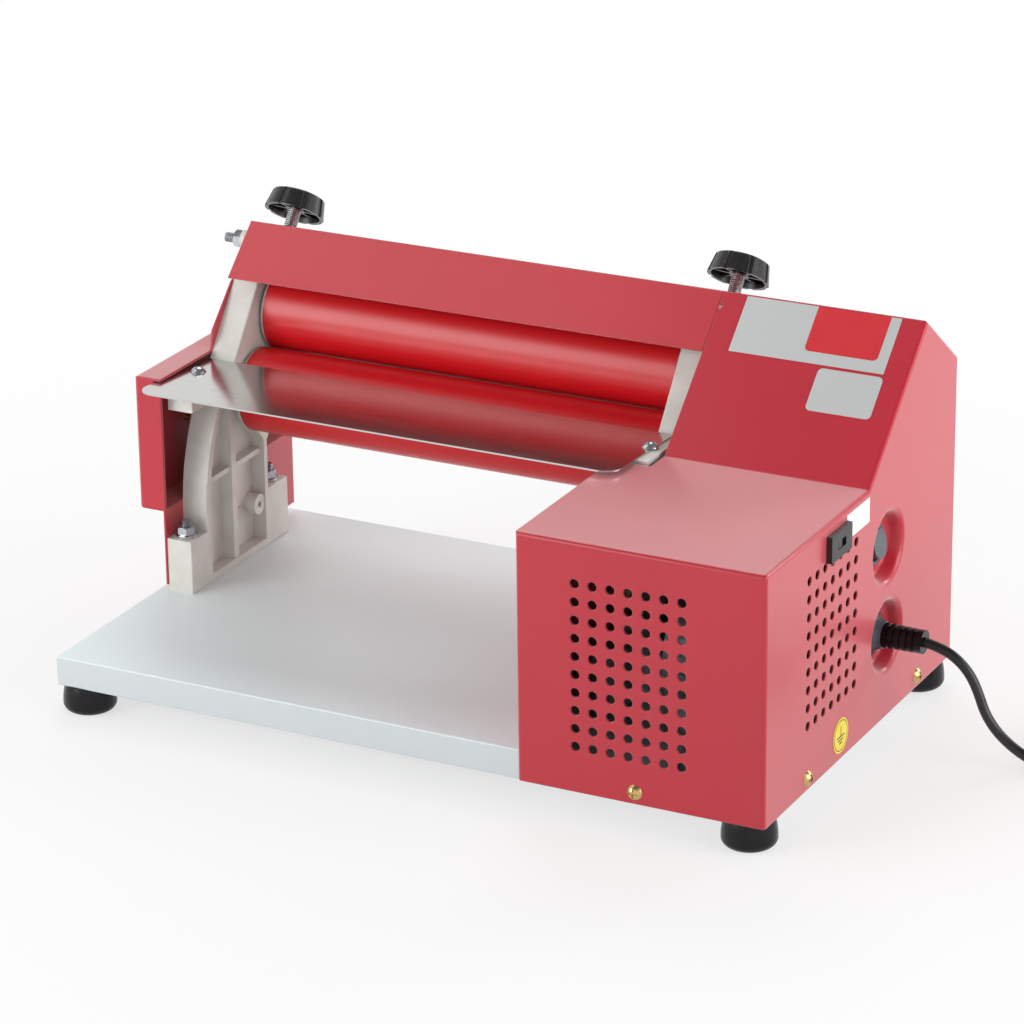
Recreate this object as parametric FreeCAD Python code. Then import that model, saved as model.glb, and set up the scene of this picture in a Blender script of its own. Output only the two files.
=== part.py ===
import FreeCAD, Part
import math
import os

# Table-top electric dough roller: two rollers in a pair of ribbed side frames on a white
# board, driven by a geared and belted motor in a red sheet-steel housing on the right.
# Millimetres. X runs along the rollers to the housing, Y to the back, Z up. The sizes are
# counted from the board's front left top corner, and the finished pieces are moved so that
# the origin lies in the middle of the underside of the whole machine.

Vector = FreeCAD.Vector
os.makedirs("parts", exist_ok=True)

# Board and feet
board_width = 454.8
board_depth = 268.0
board_thickness = 18.0
board_edge_bevel = 0.6
foot_height = 17.0
foot_radius = 16.0
foot_top_radius = 14.3
foot_belly_height = 5.0
foot_inset_x = 14.0
foot_inset_y = 13.0
foot_well_radius = 6.5
foot_well_depth = 7.0
foot_screw_radius = 2.0
foot_screw_length = 20.0
foot_screw_head_radius = 4.5
foot_screw_head_height = 3.0

# Rollers, shafts and the line on which the upper roller opens
roller_radius = 26.0
roller_wall = 5.0
roller_gap = 0.8
roller_travel = 4.0
roller_lean_deg = 37.0
lower_roller_y = 197.5
lower_roller_z = 107.3
roller_side_gap = 2.0
plug_rim = 1.5
plug_depth = 12.0
lower_shaft_radius = 8.0
upper_shaft_radius = 7.0
running_clearance = 0.05
bush_wall = 3.0

# Side frames
frame_thickness = 17.0
frame_left = 7.0
frame_tower_gap = 3.4
frame_front = 116.5
frame_back = 233.0
front_foot_height = 34.0
back_foot_height = 37.0
column_front = 136.0
column_back = 210.0
column_bow_start = 45.0
column_bow_radius = 123.5
frame_half_width = 33.0
frame_top_reach = 38.0
frame_back_limit = 263.0
frame_rim = 4.5
frame_web = 8.0
frame_floor_rib = 5.0
frame_pocket_drop = 24.0
upright_rib_y = 170.8
upright_rib_width = 5.5
cross_rib_z = 63.5
cross_rib_width = 3.2
back_boss_y = 200.0
back_boss_z = 29.6
back_boss_radius = 6.5
small_boss_y = 147.5
small_boss_z = 25.4
small_boss_radius = 4.6
boss_hole_radius = 2.0
boss_step = 2.5
pad_y = 187.0
pad_z = 22.0
pad_radius = 8.5
pad_rise = 0.8
frame_fillet = 1.0
lug_front = 124.0
lug_bottom = 114.5

# Bearing blocks that slide in the side frames, with their screws and knobs
block_width = 28.0
block_height = 30.0
block_guide_clearance = 0.15
block_end_clearance = 0.8
block_side_clearance = 0.3
spindle_radius = 4.0
spindle_foot_depth = 5.0
spindle_end_gap = 0.1
spindle_nut_flats = 13.0
spindle_nut_height = 6.5
knob_cover_gap = 20.9
knob_base_radius = 18.9
knob_top_radius = 16.5
knob_height = 11.5
knob_crown = 3.0
knob_lobes = 8
knob_first_flute_deg = 40.0
knob_flute_radius = 1.8
knob_flute_depth = 1.4
knob_wall = 2.5
knob_hub_radius = 6.2
knob_well_depth = 8.5
knob_rib_width = 1.6
knob_rib_inset = 2.2
knob_edge_round = 1.2

# Frame bolts, nuts and washers
bolt_radius = 3.0
bolt_hole_clearance = 0.2
front_bolt_y = 125.2
back_bolt_y = 223.5
bolt_tip_over_foot = 10.5
bolt_head_radius = 6.0
bolt_head_height = 3.5
washer_radius = 6.5
washer_thickness = 1.6
nut_flats = 10.0
nut_height = 5.2
nut_chamfer_share = 0.15

# Tie rod
tie_rod_radius = 3.0
tie_rod_y = 219.0
tie_rod_z = 194.0
tie_boss_radius = 5.8
tie_rod_overhang = 12.0

# Feed tray
tray_thickness = 1.0
tray_back = 172.5
tray_back_z = 131.0
tray_depth = 77.5
tray_rise_deg = 2.0
tray_left = 2.6
tray_left_back = 7.5
tray_right_reach = 10.5
tray_right_back_reach = 11.0
tray_corner = 11.0
tray_nip_clearance = 0.6
tray_screw_y = 146.0
tray_screw_radius = 2.5
tray_screw_head_radius = 5.0
tray_screw_head_height = 3.2
tray_screw_length = 14.0
tray_screw_slot = 1.0

# Cross cover over the rollers, and the housing's slope in line with it
ridge_y = 220.9
ridge_z = 206.0
face_slope_deg = 42.6
cover_face_width = 41.0
cover_left = 11.5
cover_gap = 0.3
cover_back_skirt = 50.0
cover_sheet = 1.2
spindle_hole_radius = 6.0

# Left cover
left_cover_sheet = 1.5
left_cover_front = 116.0
left_cover_foot = 4.0
left_cover_shoulder = 136.0
left_cover_shoulder_back = 177.0
left_cover_step_y = 179.0
left_cover_step_z = 147.0
left_cover_neck_y = 203.0
left_cover_neck_z = 171.0
left_cover_top_y = 226.0
left_cover_top_z = 186.0
left_cover_tail_z = 156.0
bulge_depth = 17.0
bulge_foot = 51.5
bulge_corner = 3.0
tray_slot_clearance = 0.5
left_shaft_overhang = 6.0
shaft_hole_clearance = 3.0
collar_radius = 13.0
collar_thickness = 5.0

# Motor housing
sheet = 1.2
box_step = 23.8
box_height = 131.3
tower_width = 127.1
box_side_back = 160.0
top_notch_front = 121.5
housing_bend = 2.2
shaft_slot_clearance = 3.0
tie_nut_hole_radius = 7.5
front_vent_inset = 36.2
front_vent_top = 106.9
front_vent_columns = 7
front_vent_rows = 10
side_vent_front = 56.2
side_vent_top = 107.3
side_vent_columns = 7
side_vent_rows = 9
vent_pitch = 10.8
vent_radius = 2.8
dish_radius = 24.2
dish_depth = 10.0
dish_lip_round = 4.0
dish_floor_round = 4.0
dish_wall_deg = 75.0
rocker_y = 169.0
rocker_z = 86.7
gland_y = 169.0
gland_z = 32.3

# Rocker switch
rocker_hole_radius = 11.4
rocker_bezel_radius = 12.8
rocker_bezel_thickness = 2.2
rocker_body_radius = 11.1
rocker_body_depth = 14.0
rocker_window_radius = 9.9
rocker_window_depth = 7.0
rocker_button_radius = 8.7
rocker_button_rise = 3.2
rocker_button_dip = 0.5
rocker_tilt_deg = 9.0
rocker_pivot_depth = 3.0
rocker_waist_share = 0.55

# Voltage selector
selector_front = 79.0
selector_back = 107.0
selector_bottom = 109.5
selector_top = 125.0
selector_rise = 3.5
selector_body_depth = 9.0
selector_body_inset = 2.5
selector_slot_width = 11.0
selector_slot_height = 5.0
selector_slider_width = 5.0
selector_slider_gap = 0.3
selector_travel = 4.0

# Housing screws
screw_head_radius = 4.7
screw_head_height = 2.8
screw_shank_radius = 2.1
screw_length = 10.0
screw_slot_width = 1.1
screw_slot_depth = 1.4
screw_recess_share = 0.58
front_screw_inset = 72.4
side_screw_front_y = 57.3
side_screw_back_y = 215.9
housing_screw_z = -11.2
bulge_screw_y = 171.0
bulge_screw_z = 92.0
bulge_screw_length = 5.0

# Labels
label_thickness = 0.3
wide_label_left_margin = 15.5
wide_label_right_margin = 15.3
wide_label_foot = 72.5
wide_label_head = 109.2
small_label_width = 39.9
small_label_right_margin = 14.3
small_label_foot = 42.9
small_label_head = 70.5
small_label_corner = 3.0
selector_label_back = 139.0
selector_label_bottom = 112.8
selector_label_top = 127.7
earth_label_y = 102.8
earth_label_z = -3.5
earth_label_radius = 10.5

# Gears on the roller shafts and the reduction
roller_gear_teeth = 20
roller_gear_width = 12.0
roller_gear_wall_gap = 3.6
roller_tooth_height_share = 1.15
root_depth_share = 1.12
flank_angle_deg = 20.0
root_flank_share = 0.8
reduction_module = 2.0
drive_gear_teeth = 45
pinion_teeth = 12
drive_gear_width = 10.0
drive_gear_gap = 4.5
pinion_width_over = 1.5
countershaft_angle_deg = 213.0
countershaft_radius = 6.0
gear_bore_wall = 6.0
tooth_share = 0.40
counter_pulley_radius = 50.0
motor_pulley_radius = 12.0
pulley_width = 12.0
pulley_gap = 7.0
pulley_flange = 2.6
pulley_flange_width = 1.5
pulley_hub_radius = 12.0
pulley_web = 5.0
belt_thickness = 2.0
belt_clearance = 0.3
stand_thickness = 8.0
stand_width = 44.0
stand_foot_thickness = 5.0
stand_foot_reach = 7.0

# Motor
motor_y = 56.0
motor_z = 58.0
motor_radius = 40.0
motor_gap = 8.0
fan_wall_gap = 10.8
motor_shaft_radius = 5.0
motor_boss_radius = 14.0
motor_boss_height = 4.0
motor_fin_count = 24
motor_fin_depth = 2.0
motor_fin_width = 3.0
cradle_wall = 3.0
cradle_width = 30.0
cradle_half_depth = 48.0
cradle_drop_share = 0.55
cradle_arm_share = 0.95
cradle_leg_share = 0.8
fan_radius = 33.0
fan_thickness = 7.0
fan_gap = 3.0
fan_blades = 8
fan_hub_radius = 10.0
fan_disc = 1.5
fan_blade_width = 1.5
capacitor_radius = 15.0
capacitor_length = 48.0
capacitor_inset = 28.9
capacitor_y = 62.0
capacitor_clip_wall = 1.5
capacitor_clip_height = 14.0

# Mains cord: gland, strain relief, cord, coil and plug
gland_radius = 10.0
gland_neck_radius = 8.6
gland_nut_length = 3.6
gland_collar_radius = 13.8
gland_collar_edge = 1.2
gland_flare_radius = 8.0
gland_flare_hollow = 1.8
relief_root_radius = 7.4
relief_tip_radius = 7.0
relief_length = 24.6
relief_inset = 1.4
relief_ribs = 6
relief_groove_depth = 1.3
relief_groove_width = 1.5
cord_diameter = 6.0
cord_bend_share = 0.45
cord_route = [
    (479.2, 169.0, 32.3),
    (490.1, 169.0, 30.4),
    (500.0, 169.0, 25.1),
    (507.7, 169.0, 17.1),
    (512.8, 169.0, 6.6),
    (516.8, 169.0, -4.5),
    (523.4, 169.0, -13.8),
    (532.2, 169.0, -21.3),
    (542.4, 169.0, -27.1),
    (553.5, 169.0, -30.7),
    (564.9, 169.0, -32.0),
    (576.3, 169.0, -32.0),
]
coil_inward_turns = 3.0
coil_rise_turns = 0.5
coil_outward_turns = 2.5
coil_step_turns = 0.25
coil_outer_radius = 45.0
coil_gap = 0.5
coil_end_run = 6.0
plug_end_run = 12.0
plug_length = 36.0
plug_width = 34.0
plug_height = 19.0
plug_neck_radius = 5.0
plug_neck_length = 26.0
plug_neck_wall = 0.6
plug_pin_radius = 2.0
plug_pin_length = 19.0
plug_pin_spacing = 19.0
plug_round = 5.0

overrun = 1.0

# Places worked out from the sizes
lean = math.radians(roller_lean_deg)
lean_up = (math.sin(lean), math.cos(lean))
lean_back = (math.cos(lean), -math.sin(lean))
roller_centres = 2 * roller_radius + roller_gap
upper_roller_y = lower_roller_y + roller_centres * lean_up[0]
upper_roller_z = lower_roller_z + roller_centres * lean_up[1]
cover_reach = ((ridge_y - upper_roller_y) * lean_up[0]
               + (ridge_z - upper_roller_z) * lean_up[1])
knob_reach = cover_reach + knob_cover_gap
frame_inner = frame_left + frame_thickness
housing_right = board_width + sheet
housing_back = board_depth + sheet
tower_left = housing_right - tower_width
box_left = tower_left - box_step
right_frame_outer = tower_left - frame_tower_gap
right_frame_inner = right_frame_outer - frame_thickness
roller_left = frame_inner + roller_side_gap
roller_right = right_frame_inner - roller_side_gap
left_bolt_x = frame_left + frame_thickness / 2
right_bolt_x = right_frame_outer - frame_thickness / 2
roller_gear_left = tower_left + roller_gear_wall_gap
drive_gear_left = roller_gear_left + roller_gear_width + drive_gear_gap
pulley_left = drive_gear_left + drive_gear_width + pulley_gap
motor_left = pulley_left + pulley_width + motor_gap
motor_length = board_width - fan_wall_gap - fan_thickness - fan_gap - motor_left
front_screw_x = box_left + front_screw_inset
face_slope = math.radians(face_slope_deg)
face_up = (math.cos(face_slope), math.sin(face_slope))
floor_z = -board_thickness - foot_height
bulge_left = frame_left - left_cover_sheet - bulge_depth
dish_floor_x = housing_right - dish_depth
dish_turn = math.radians(dish_wall_deg)
dish_bends = dish_lip_round + dish_floor_round
dish_wall = (dish_depth - dish_bends * (1 - math.cos(dish_turn))) / math.sin(dish_turn)
dish_floor_radius = (dish_radius - dish_bends * math.sin(dish_turn)
                     - dish_wall * math.cos(dish_turn))
tray_rise = math.radians(tray_rise_deg)


def block(low, high):
    """Box between its lowest and its highest corner."""
    width, depth, height = [far - near for near, far in zip(low, high)]
    return Part.makeBox(width, depth, height, Vector(*low))


def rod(start, direction, radius, length):
    """Cylinder from the middle of its first end."""
    return Part.makeCylinder(radius, length, Vector(*start), Vector(*direction))


def rod_x(near, far, y, z, radius):
    """Cylinder along X between two ends."""
    return rod((near, y, z), (1, 0, 0), radius, far - near)


def ring_x(near, far, y, z, radius, bore):
    """Tube along X."""
    return rod_x(near, far, y, z, radius).cut(rod_x(near - overrun, far + overrun, y, z, bore))


def joined(shapes):
    """One solid from several that overlap or touch."""
    whole = shapes[0].fuse(shapes[1:]) if len(shapes) > 1 else shapes[0]
    return whole.removeSplitter()


def group(shapes):
    """Several separate solids kept as one node."""
    return Part.makeCompound(shapes)


def closed_wire(outline, place):
    """Closed wire of an outline; an entry of two points is an arc through the first."""
    edges = []
    ends = [entry if not isinstance(entry[0], tuple) else entry[1] for entry in outline]
    for index, entry in enumerate(outline):
        start = place(*ends[index - 1])
        end = place(*ends[index])
        if isinstance(entry[0], tuple):
            edges.append(Part.Arc(start, place(*entry[0]), end).toShape())
        else:
            edges.append(Part.LineSegment(start, end).toShape())
    return Part.Wire(edges)


def side_prism(outline, near, far):
    """Solid with a YZ outline between two places along X."""
    wire = closed_wire(outline, lambda y, z: Vector(near, y, z))
    return Part.Face(wire).extrude(Vector(far - near, 0, 0))


def inset(outline, distance):
    """Straight-sided outline, given anticlockwise, moved inwards all round."""
    moved = []
    for index, (y, z) in enumerate(outline):
        last = outline[index - 1]
        following = outline[(index + 1) % len(outline)]
        arrive = Vector(y - last[0], z - last[1], 0).normalize()
        leave = Vector(following[0] - y, following[1] - z, 0).normalize()
        share = 1 + arrive.dot(leave)
        moved.append((y - distance * (arrive.y + leave.y) / share,
                      z + distance * (arrive.x + leave.x) / share))
    return moved


def crossing(point, direction, other, other_direction):
    """Point where two lines of a YZ outline cross."""
    cross = direction[0] * other_direction[1] - direction[1] * other_direction[0]
    gap = (other[0] - point[0], other[1] - point[1])
    run = (gap[0] * other_direction[1] - gap[1] * other_direction[0]) / cross
    return (point[0] + run * direction[0], point[1] + run * direction[1])


def from_upper(up, back):
    """YZ point counted from the upper roller's centre, along and across the lean."""
    return (upper_roller_y + up * lean_up[0] + back * lean_back[0],
            upper_roller_z + up * lean_up[1] + back * lean_back[1])


def from_lower(up, back):
    """YZ point counted from the lower roller's centre, along and across the lean."""
    return from_upper(up - roller_centres, back)


def hexagon_prism(start, direction, flats, height):
    """Hexagonal prism with its middle line along a direction."""
    radius = flats / math.sqrt(3)
    corners = [Vector(radius * math.cos(turn), radius * math.sin(turn), 0)
               for turn in [math.radians(60 * step) for step in range(7)]]
    prism = Part.Face(Part.makePolygon(corners)).extrude(Vector(0, 0, height))
    # The corners are turned down by a cone, as on a machined nut.
    chamfer = Part.makeCone(flats / 2 + height, flats / 2 - height * nut_chamfer_share,
                            height * (1 + nut_chamfer_share))
    lower = chamfer.mirror(Vector(0, 0, 0), Vector(0, 0, 1))
    lower.translate(Vector(0, 0, height))
    prism = prism.common(chamfer).common(lower)
    turn = FreeCAD.Rotation(Vector(0, 0, 1), Vector(*direction))
    prism.Placement = FreeCAD.Placement(Vector(*start), turn)
    return prism


def nut(start, direction, flats, height, bore):
    """Hexagonal nut with a plain bore."""
    return hexagon_prism(start, direction, flats, height).cut(
        rod(start, direction, bore, height))


def pan_screw(seat, direction, head_radius, head_height, shank_radius, length, slot, depth):
    """Pan-head screw whose head sits on a seat; the direction points out of the head."""
    dome_radius = (head_radius ** 2 + head_height ** 2) / (2 * head_height)
    dome = Part.makeSphere(dome_radius, Vector(0, 0, head_height - dome_radius))
    head = dome.common(Part.makeCylinder(head_radius, head_height))
    shank = Part.makeCylinder(shank_radius, length + head_height / 4, Vector(0, 0, -length))
    screw = head.fuse(shank)
    reach = head_radius * screw_recess_share
    top = head_height - depth
    for size in ((reach, slot / 2), (slot / 2, reach)):
        cut = block((-size[0], -size[1], top), (size[0], size[1], head_height + depth))
        screw = screw.cut(cut)
    turn = FreeCAD.Rotation(Vector(0, 0, 1), Vector(*direction))
    screw.Placement = FreeCAD.Placement(Vector(*seat), turn)
    return screw


def revolved_x(profile, y, z):
    """Solid of revolution about an axis along X; the profile holds X and radius."""
    face = Part.Face(closed_wire(profile, lambda x, radius: Vector(x, radius, 0)))
    solid = face.revolve(Vector(0, 0, 0), Vector(1, 0, 0), 360)
    solid.translate(Vector(0, y, z))
    return solid


def mirrored_frame(shape):
    """Left side frame's piece mirrored to the right side frame."""
    middle = (frame_left + right_frame_outer) / 2
    return shape.mirror(Vector(middle, 0, 0), Vector(1, 0, 0))


def make_board():
    """Laminated board with the holes for the frame bolts and foot screws."""
    board = block((0, 0, -board_thickness), (board_width, board_depth, 0))
    board = board.makeChamfer(board_edge_bevel, board.Edges)
    for x in (left_bolt_x, right_bolt_x):
        for y in (front_bolt_y, back_bolt_y):
            hole = bolt_radius + bolt_hole_clearance
            board = board.cut(rod((x, y, -board_thickness), (0, 0, 1), hole, board_thickness))
            head = rod((x, y, -board_thickness), (0, 0, 1), bolt_head_radius, bolt_head_height)
            board = board.cut(head)
    for x, y in foot_places():
        depth = foot_screw_length - (foot_height - foot_well_depth)
        board = board.cut(rod((x, y, -board_thickness), (0, 0, 1), foot_screw_radius, depth))
    for place in housing_screw_places():
        seat, direction = place
        inwards = Vector(*direction).negative()
        board = board.cut(Part.makeCylinder(screw_shank_radius, screw_length, seat, inwards))
    return board


def foot_places():
    """Middles of the four feet."""
    return [(x, y) for x in (foot_inset_x, board_width - foot_inset_x)
            for y in (foot_inset_y, board_depth - foot_inset_y)]


def make_foot(x, y):
    """Bell-shaped rubber foot with a well for its screw."""
    corner = foot_belly_height * (1 - math.sqrt(0.5))
    over_belly = foot_height - foot_belly_height
    draw_in = foot_radius - foot_top_radius
    flank_radius = (over_belly ** 2 + draw_in ** 2) / (2 * draw_in)
    middle = over_belly / 2
    bulge = foot_radius - flank_radius + math.sqrt(flank_radius ** 2 - middle ** 2)
    outline = [(0, 0), (foot_radius - foot_belly_height, 0),
               ((foot_radius - corner, corner), (foot_radius, foot_belly_height)),
               ((bulge, foot_belly_height + middle), (foot_top_radius, foot_height)),
               (0, foot_height)]
    wire = closed_wire(outline, lambda radius, z: Vector(radius, 0, z))
    foot = Part.Face(wire).revolve(Vector(0, 0, 0), Vector(0, 0, 1), 360)
    foot.translate(Vector(x, y, floor_z))
    foot = foot.cut(rod((x, y, floor_z), (0, 0, 1), foot_well_radius, foot_well_depth))
    return foot.cut(rod((x, y, floor_z), (0, 0, 1), foot_screw_radius, foot_height))


def make_foot_screws():
    """Four screws that hold the feet to the board."""
    screws = []
    for x, y in foot_places():
        seat = floor_z + foot_well_depth
        head = rod((x, y, seat - foot_screw_head_height), (0, 0, 1),
                   foot_screw_head_radius, foot_screw_head_height)
        shank = rod((x, y, seat), (0, 0, 1), foot_screw_radius, foot_screw_length)
        screws.append(joined([head, shank]))
    return group(screws)


def column_bow(height, offset):
    """Y of the column's bowed front at a height, moved back by an offset."""
    radius = column_bow_radius - offset
    rise = height - column_bow_start
    return column_front + column_bow_radius - math.sqrt(radius ** 2 - rise ** 2)


def tray_z(y):
    """Height of the tray's underside at a depth."""
    return tray_back_z + (tray_back - y) * math.tan(tray_rise)


def frame_outline():
    """YZ outline of a side frame, anticlockwise from the front of its foot."""
    back_edge = from_lower(0, frame_half_width)
    back_knee = crossing(back_edge, lean_up, (column_back, 0), (0, 1))
    back_wall = crossing(back_edge, lean_up, (frame_back_limit, 0), (0, 1))
    top_middle = from_upper(frame_top_reach, 0)
    top_back = crossing(top_middle, lean_back, (frame_back_limit, 0), (0, 1))
    top_front = from_upper(frame_top_reach, -frame_half_width)
    strip_foot = crossing(top_front, lean_up, (tray_back, tray_back_z),
                          (-math.cos(tray_rise), math.sin(tray_rise)))
    bow_top = column_bow(lug_bottom, 0)
    bow_middle_z = (column_bow_start + lug_bottom) / 2
    bow_middle = column_bow(bow_middle_z, 0)
    return [(frame_front, 0), (frame_back, 0), (frame_back, back_foot_height),
            (column_back, back_foot_height), back_knee, back_wall, top_back, top_front,
            strip_foot, (lug_front, tray_z(lug_front)), (lug_front, lug_bottom),
            (bow_top, lug_bottom), ((bow_middle, bow_middle_z), (column_front, column_bow_start)),
            (column_front, front_foot_height), (frame_front, front_foot_height)]


def frame_pocket(near, far):
    """Hollow between the web, the column's rim and the ribs' outer limits."""
    top = from_lower(-frame_pocket_drop, 0)
    back = column_back - frame_rim
    top_back = crossing(top, lean_back, (back, 0), (0, 1))
    top_front_z = crossing(top, lean_back, (column_front + 2 * frame_rim, 0), (0, 1))[1]
    high_z = top_front_z - 2 * frame_rim
    top_front_y = column_bow(high_z, frame_rim)
    middle_z = (column_bow_start + high_z) / 2
    middle_y = column_bow(middle_z, frame_rim)
    front = column_front + frame_rim
    outline = [(front, frame_floor_rib), (back, frame_floor_rib), top_back,
               (top_front_y + 2 * frame_rim, top_front_z - frame_rim), (top_front_y, high_z),
               ((middle_y, middle_z), (front, column_bow_start))]
    return side_prism(outline, near, far)


def make_side_frame():
    """Left side frame: ribbed casting with a window for the sliding bearing block."""
    outer = frame_left
    inner = frame_inner
    body = side_prism(frame_outline(), outer, inner)
    fillet = [edge for edge in body.Edges
              if abs(edge.Vertexes[0].X - edge.Vertexes[-1].X) < frame_fillet
              and edge.BoundBox.XMin > inner - frame_fillet]
    body = body.makeFillet(frame_fillet, fillet)
    body = body.fuse(rod_x(outer, inner, tie_rod_y, tie_rod_z, tie_boss_radius))
    pocket = frame_pocket(outer + frame_web, inner + overrun)
    half = upright_rib_width / 2
    ribs = [block((outer, upright_rib_y - half, 0),
                  (inner - frame_fillet, upright_rib_y + half, ridge_z)),
            block((outer, column_front, cross_rib_z - cross_rib_width / 2),
                  (inner - boss_step, column_back, cross_rib_z + cross_rib_width / 2)),
            rod_x(outer, inner - frame_fillet, back_boss_y, back_boss_z, back_boss_radius),
            rod_x(outer, outer + frame_web + boss_step, small_boss_y, small_boss_z,
                  small_boss_radius),
            rod_x(outer, outer + frame_web + pad_rise, pad_y, pad_z, pad_radius)]
    for rib in ribs:
        pocket = pocket.cut(rib)
    body = body.cut(pocket)
    holes = [rod_x(outer - overrun, inner + overrun, tie_rod_y, tie_rod_z,
                   tie_rod_radius + bolt_hole_clearance),
             rod_x(outer + screw_length, inner + overrun, back_boss_y, back_boss_z,
                   boss_hole_radius),
             rod_x(outer + screw_length, inner + overrun, small_boss_y, small_boss_z,
                   boss_hole_radius),
             rod_x(outer - overrun, inner + overrun, lower_roller_y, lower_roller_z,
                   lower_shaft_radius + bush_wall)]
    window_half = block_width / 2 + block_guide_clearance
    window_low = -block_height / 2 - block_end_clearance
    window_high = block_height / 2 + roller_travel + block_end_clearance
    window = [from_upper(window_low, -window_half), from_upper(window_low, window_half),
              from_upper(window_high, window_half), from_upper(window_high, -window_half)]
    holes.append(side_prism(window, outer - overrun, inner + overrun))
    direction = (0, lean_up[0], lean_up[1])
    start = (left_bolt_x, upper_roller_y, upper_roller_z)
    holes.append(rod(start, direction, spindle_radius + bolt_hole_clearance,
                     frame_top_reach + overrun))
    seat = from_upper(frame_top_reach - spindle_nut_height, 0)
    nut_radius = spindle_nut_flats / math.sqrt(3) + bolt_hole_clearance
    holes.append(rod((left_bolt_x, seat[0], seat[1]), direction, nut_radius,
                     spindle_nut_height + overrun))
    for y, height in ((front_bolt_y, front_foot_height), (back_bolt_y, back_foot_height)):
        holes.append(rod((left_bolt_x, y, 0), (0, 0, 1), bolt_radius + bolt_hole_clearance,
                         height))
    normal = (0, math.sin(tray_rise), math.cos(tray_rise))
    inwards = Vector(*normal).negative()
    seat = Vector(left_bolt_x, tray_screw_y, tray_z(tray_screw_y))
    holes.append(Part.makeCylinder(tray_screw_radius, tray_screw_length, seat, inwards))
    for y, z in cover_screw_places():
        holes.append(rod_x(outer - overrun, outer + screw_length, y, z, screw_shank_radius))
    for hole in holes:
        body = body.cut(hole)
    return body


def cover_screw_places():
    """Places on the side frame where screws hold the left cover."""
    return [(back_boss_y, back_boss_z), (small_boss_y, small_boss_z)]


def make_frame_bolts():
    """Four bolts from under the board through the frames' feet."""
    bolts = []
    for x in (left_bolt_x, right_bolt_x):
        for y, height in ((front_bolt_y, front_foot_height), (back_bolt_y, back_foot_height)):
            length = board_thickness + height + bolt_tip_over_foot
            stem = rod((x, y, -board_thickness), (0, 0, 1), bolt_radius, length)
            head = rod((x, y, -board_thickness), (0, 0, 1), bolt_head_radius, bolt_head_height)
            bolts.append(joined([stem, head]))
    return group(bolts)


def make_frame_fasteners():
    """Washers and nuts on the frames' feet."""
    washers = []
    nuts = []
    for x in (left_bolt_x, right_bolt_x):
        for y, height in ((front_bolt_y, front_foot_height), (back_bolt_y, back_foot_height)):
            washer = rod((x, y, height), (0, 0, 1), washer_radius, washer_thickness)
            washers.append(washer.cut(rod((x, y, height), (0, 0, 1), bolt_radius,
                                          washer_thickness)))
            nuts.append(nut((x, y, height + washer_thickness), (0, 0, 1), nut_flats, nut_height,
                            bolt_radius))
    return group(washers), group(nuts)


def make_roller(y, z):
    """Roller tube between its two end plugs."""
    near = roller_left + plug_rim
    far = roller_right - plug_rim
    return ring_x(near, far, y, z, roller_radius, roller_radius - roller_wall)


def make_plugs(y, z, shaft):
    """Pale end plugs with a rim that closes the roller's ends."""
    plugs = []
    bore = roller_radius - roller_wall
    for end, inwards in ((roller_left, 1), (roller_right, -1)):
        rim = sorted([end, end + inwards * plug_rim])
        core = sorted([end, end + inwards * plug_depth])
        plug = rod_x(rim[0], rim[1], y, z, roller_radius - plug_rim / 3)
        plug = plug.fuse(rod_x(core[0], core[1], y, z, bore))
        plugs.append(plug.cut(rod_x(core[0], core[1], y, z, shaft)).removeSplitter())
    return group(plugs)


def gear(near, far, y, z, teeth, pitch_radius, height, bore, first_deg):
    """Spur gear with straight-sided teeth; the first tooth points along an angle."""
    root = pitch_radius - height * root_depth_share
    tip = pitch_radius + height
    pitch_arc = 2 * math.pi * pitch_radius / teeth
    flank = math.tan(math.radians(flank_angle_deg))
    half = pitch_arc * tooth_share / 2
    corners = []
    for tooth in range(teeth):
        middle = math.radians(first_deg) + 2 * math.pi * tooth / teeth
        root_half = half + (pitch_radius - root) * flank * root_flank_share
        tip_half = half - height * flank
        flanks = ((root, root_half, -1), (pitch_radius, half, -1), (tip, tip_half, -1),
                  (tip, tip_half, 1), (pitch_radius, half, 1), (root, root_half, 1))
        for radius, width, side in flanks:
            angle = middle + side * width / radius
            corners.append((y + radius * math.cos(angle), z + radius * math.sin(angle)))
    wheel = side_prism(corners, near, far)
    return wheel.cut(rod_x(near - overrun, far + overrun, y, z, bore))


def make_roller_gears():
    """Pair of long-toothed gears that join the two rollers."""
    pitch_radius = roller_centres / 2
    height = 2 * pitch_radius / roller_gear_teeth * roller_tooth_height_share
    toward = math.degrees(math.atan2(lean_up[1], lean_up[0]))
    near = roller_gear_left
    far = near + roller_gear_width
    lower = gear(near, far, lower_roller_y, lower_roller_z, roller_gear_teeth, pitch_radius,
                 height, lower_shaft_radius, toward)
    upper = gear(near, far, upper_roller_y, upper_roller_z, roller_gear_teeth, pitch_radius,
                 height, upper_shaft_radius, toward + 180 / roller_gear_teeth)
    return lower, upper


def countershaft_place():
    """Centre of the countershaft in mesh with the drive gear."""
    reach = reduction_module * (drive_gear_teeth + pinion_teeth) / 2
    turn = math.radians(countershaft_angle_deg)
    return (lower_roller_y + reach * math.cos(turn), lower_roller_z + reach * math.sin(turn))


def make_drive_gear():
    """Large gear on the lower roller's shaft."""
    radius = reduction_module * drive_gear_teeth / 2
    near = drive_gear_left
    wheel = gear(near, near + drive_gear_width, lower_roller_y, lower_roller_z,
                 drive_gear_teeth, radius, reduction_module, lower_shaft_radius,
                 countershaft_angle_deg)
    hub = ring_x(roller_gear_left + roller_gear_width, near, lower_roller_y, lower_roller_z,
                 lower_shaft_radius + gear_bore_wall, lower_shaft_radius)
    return joined([wheel, hub])


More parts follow.
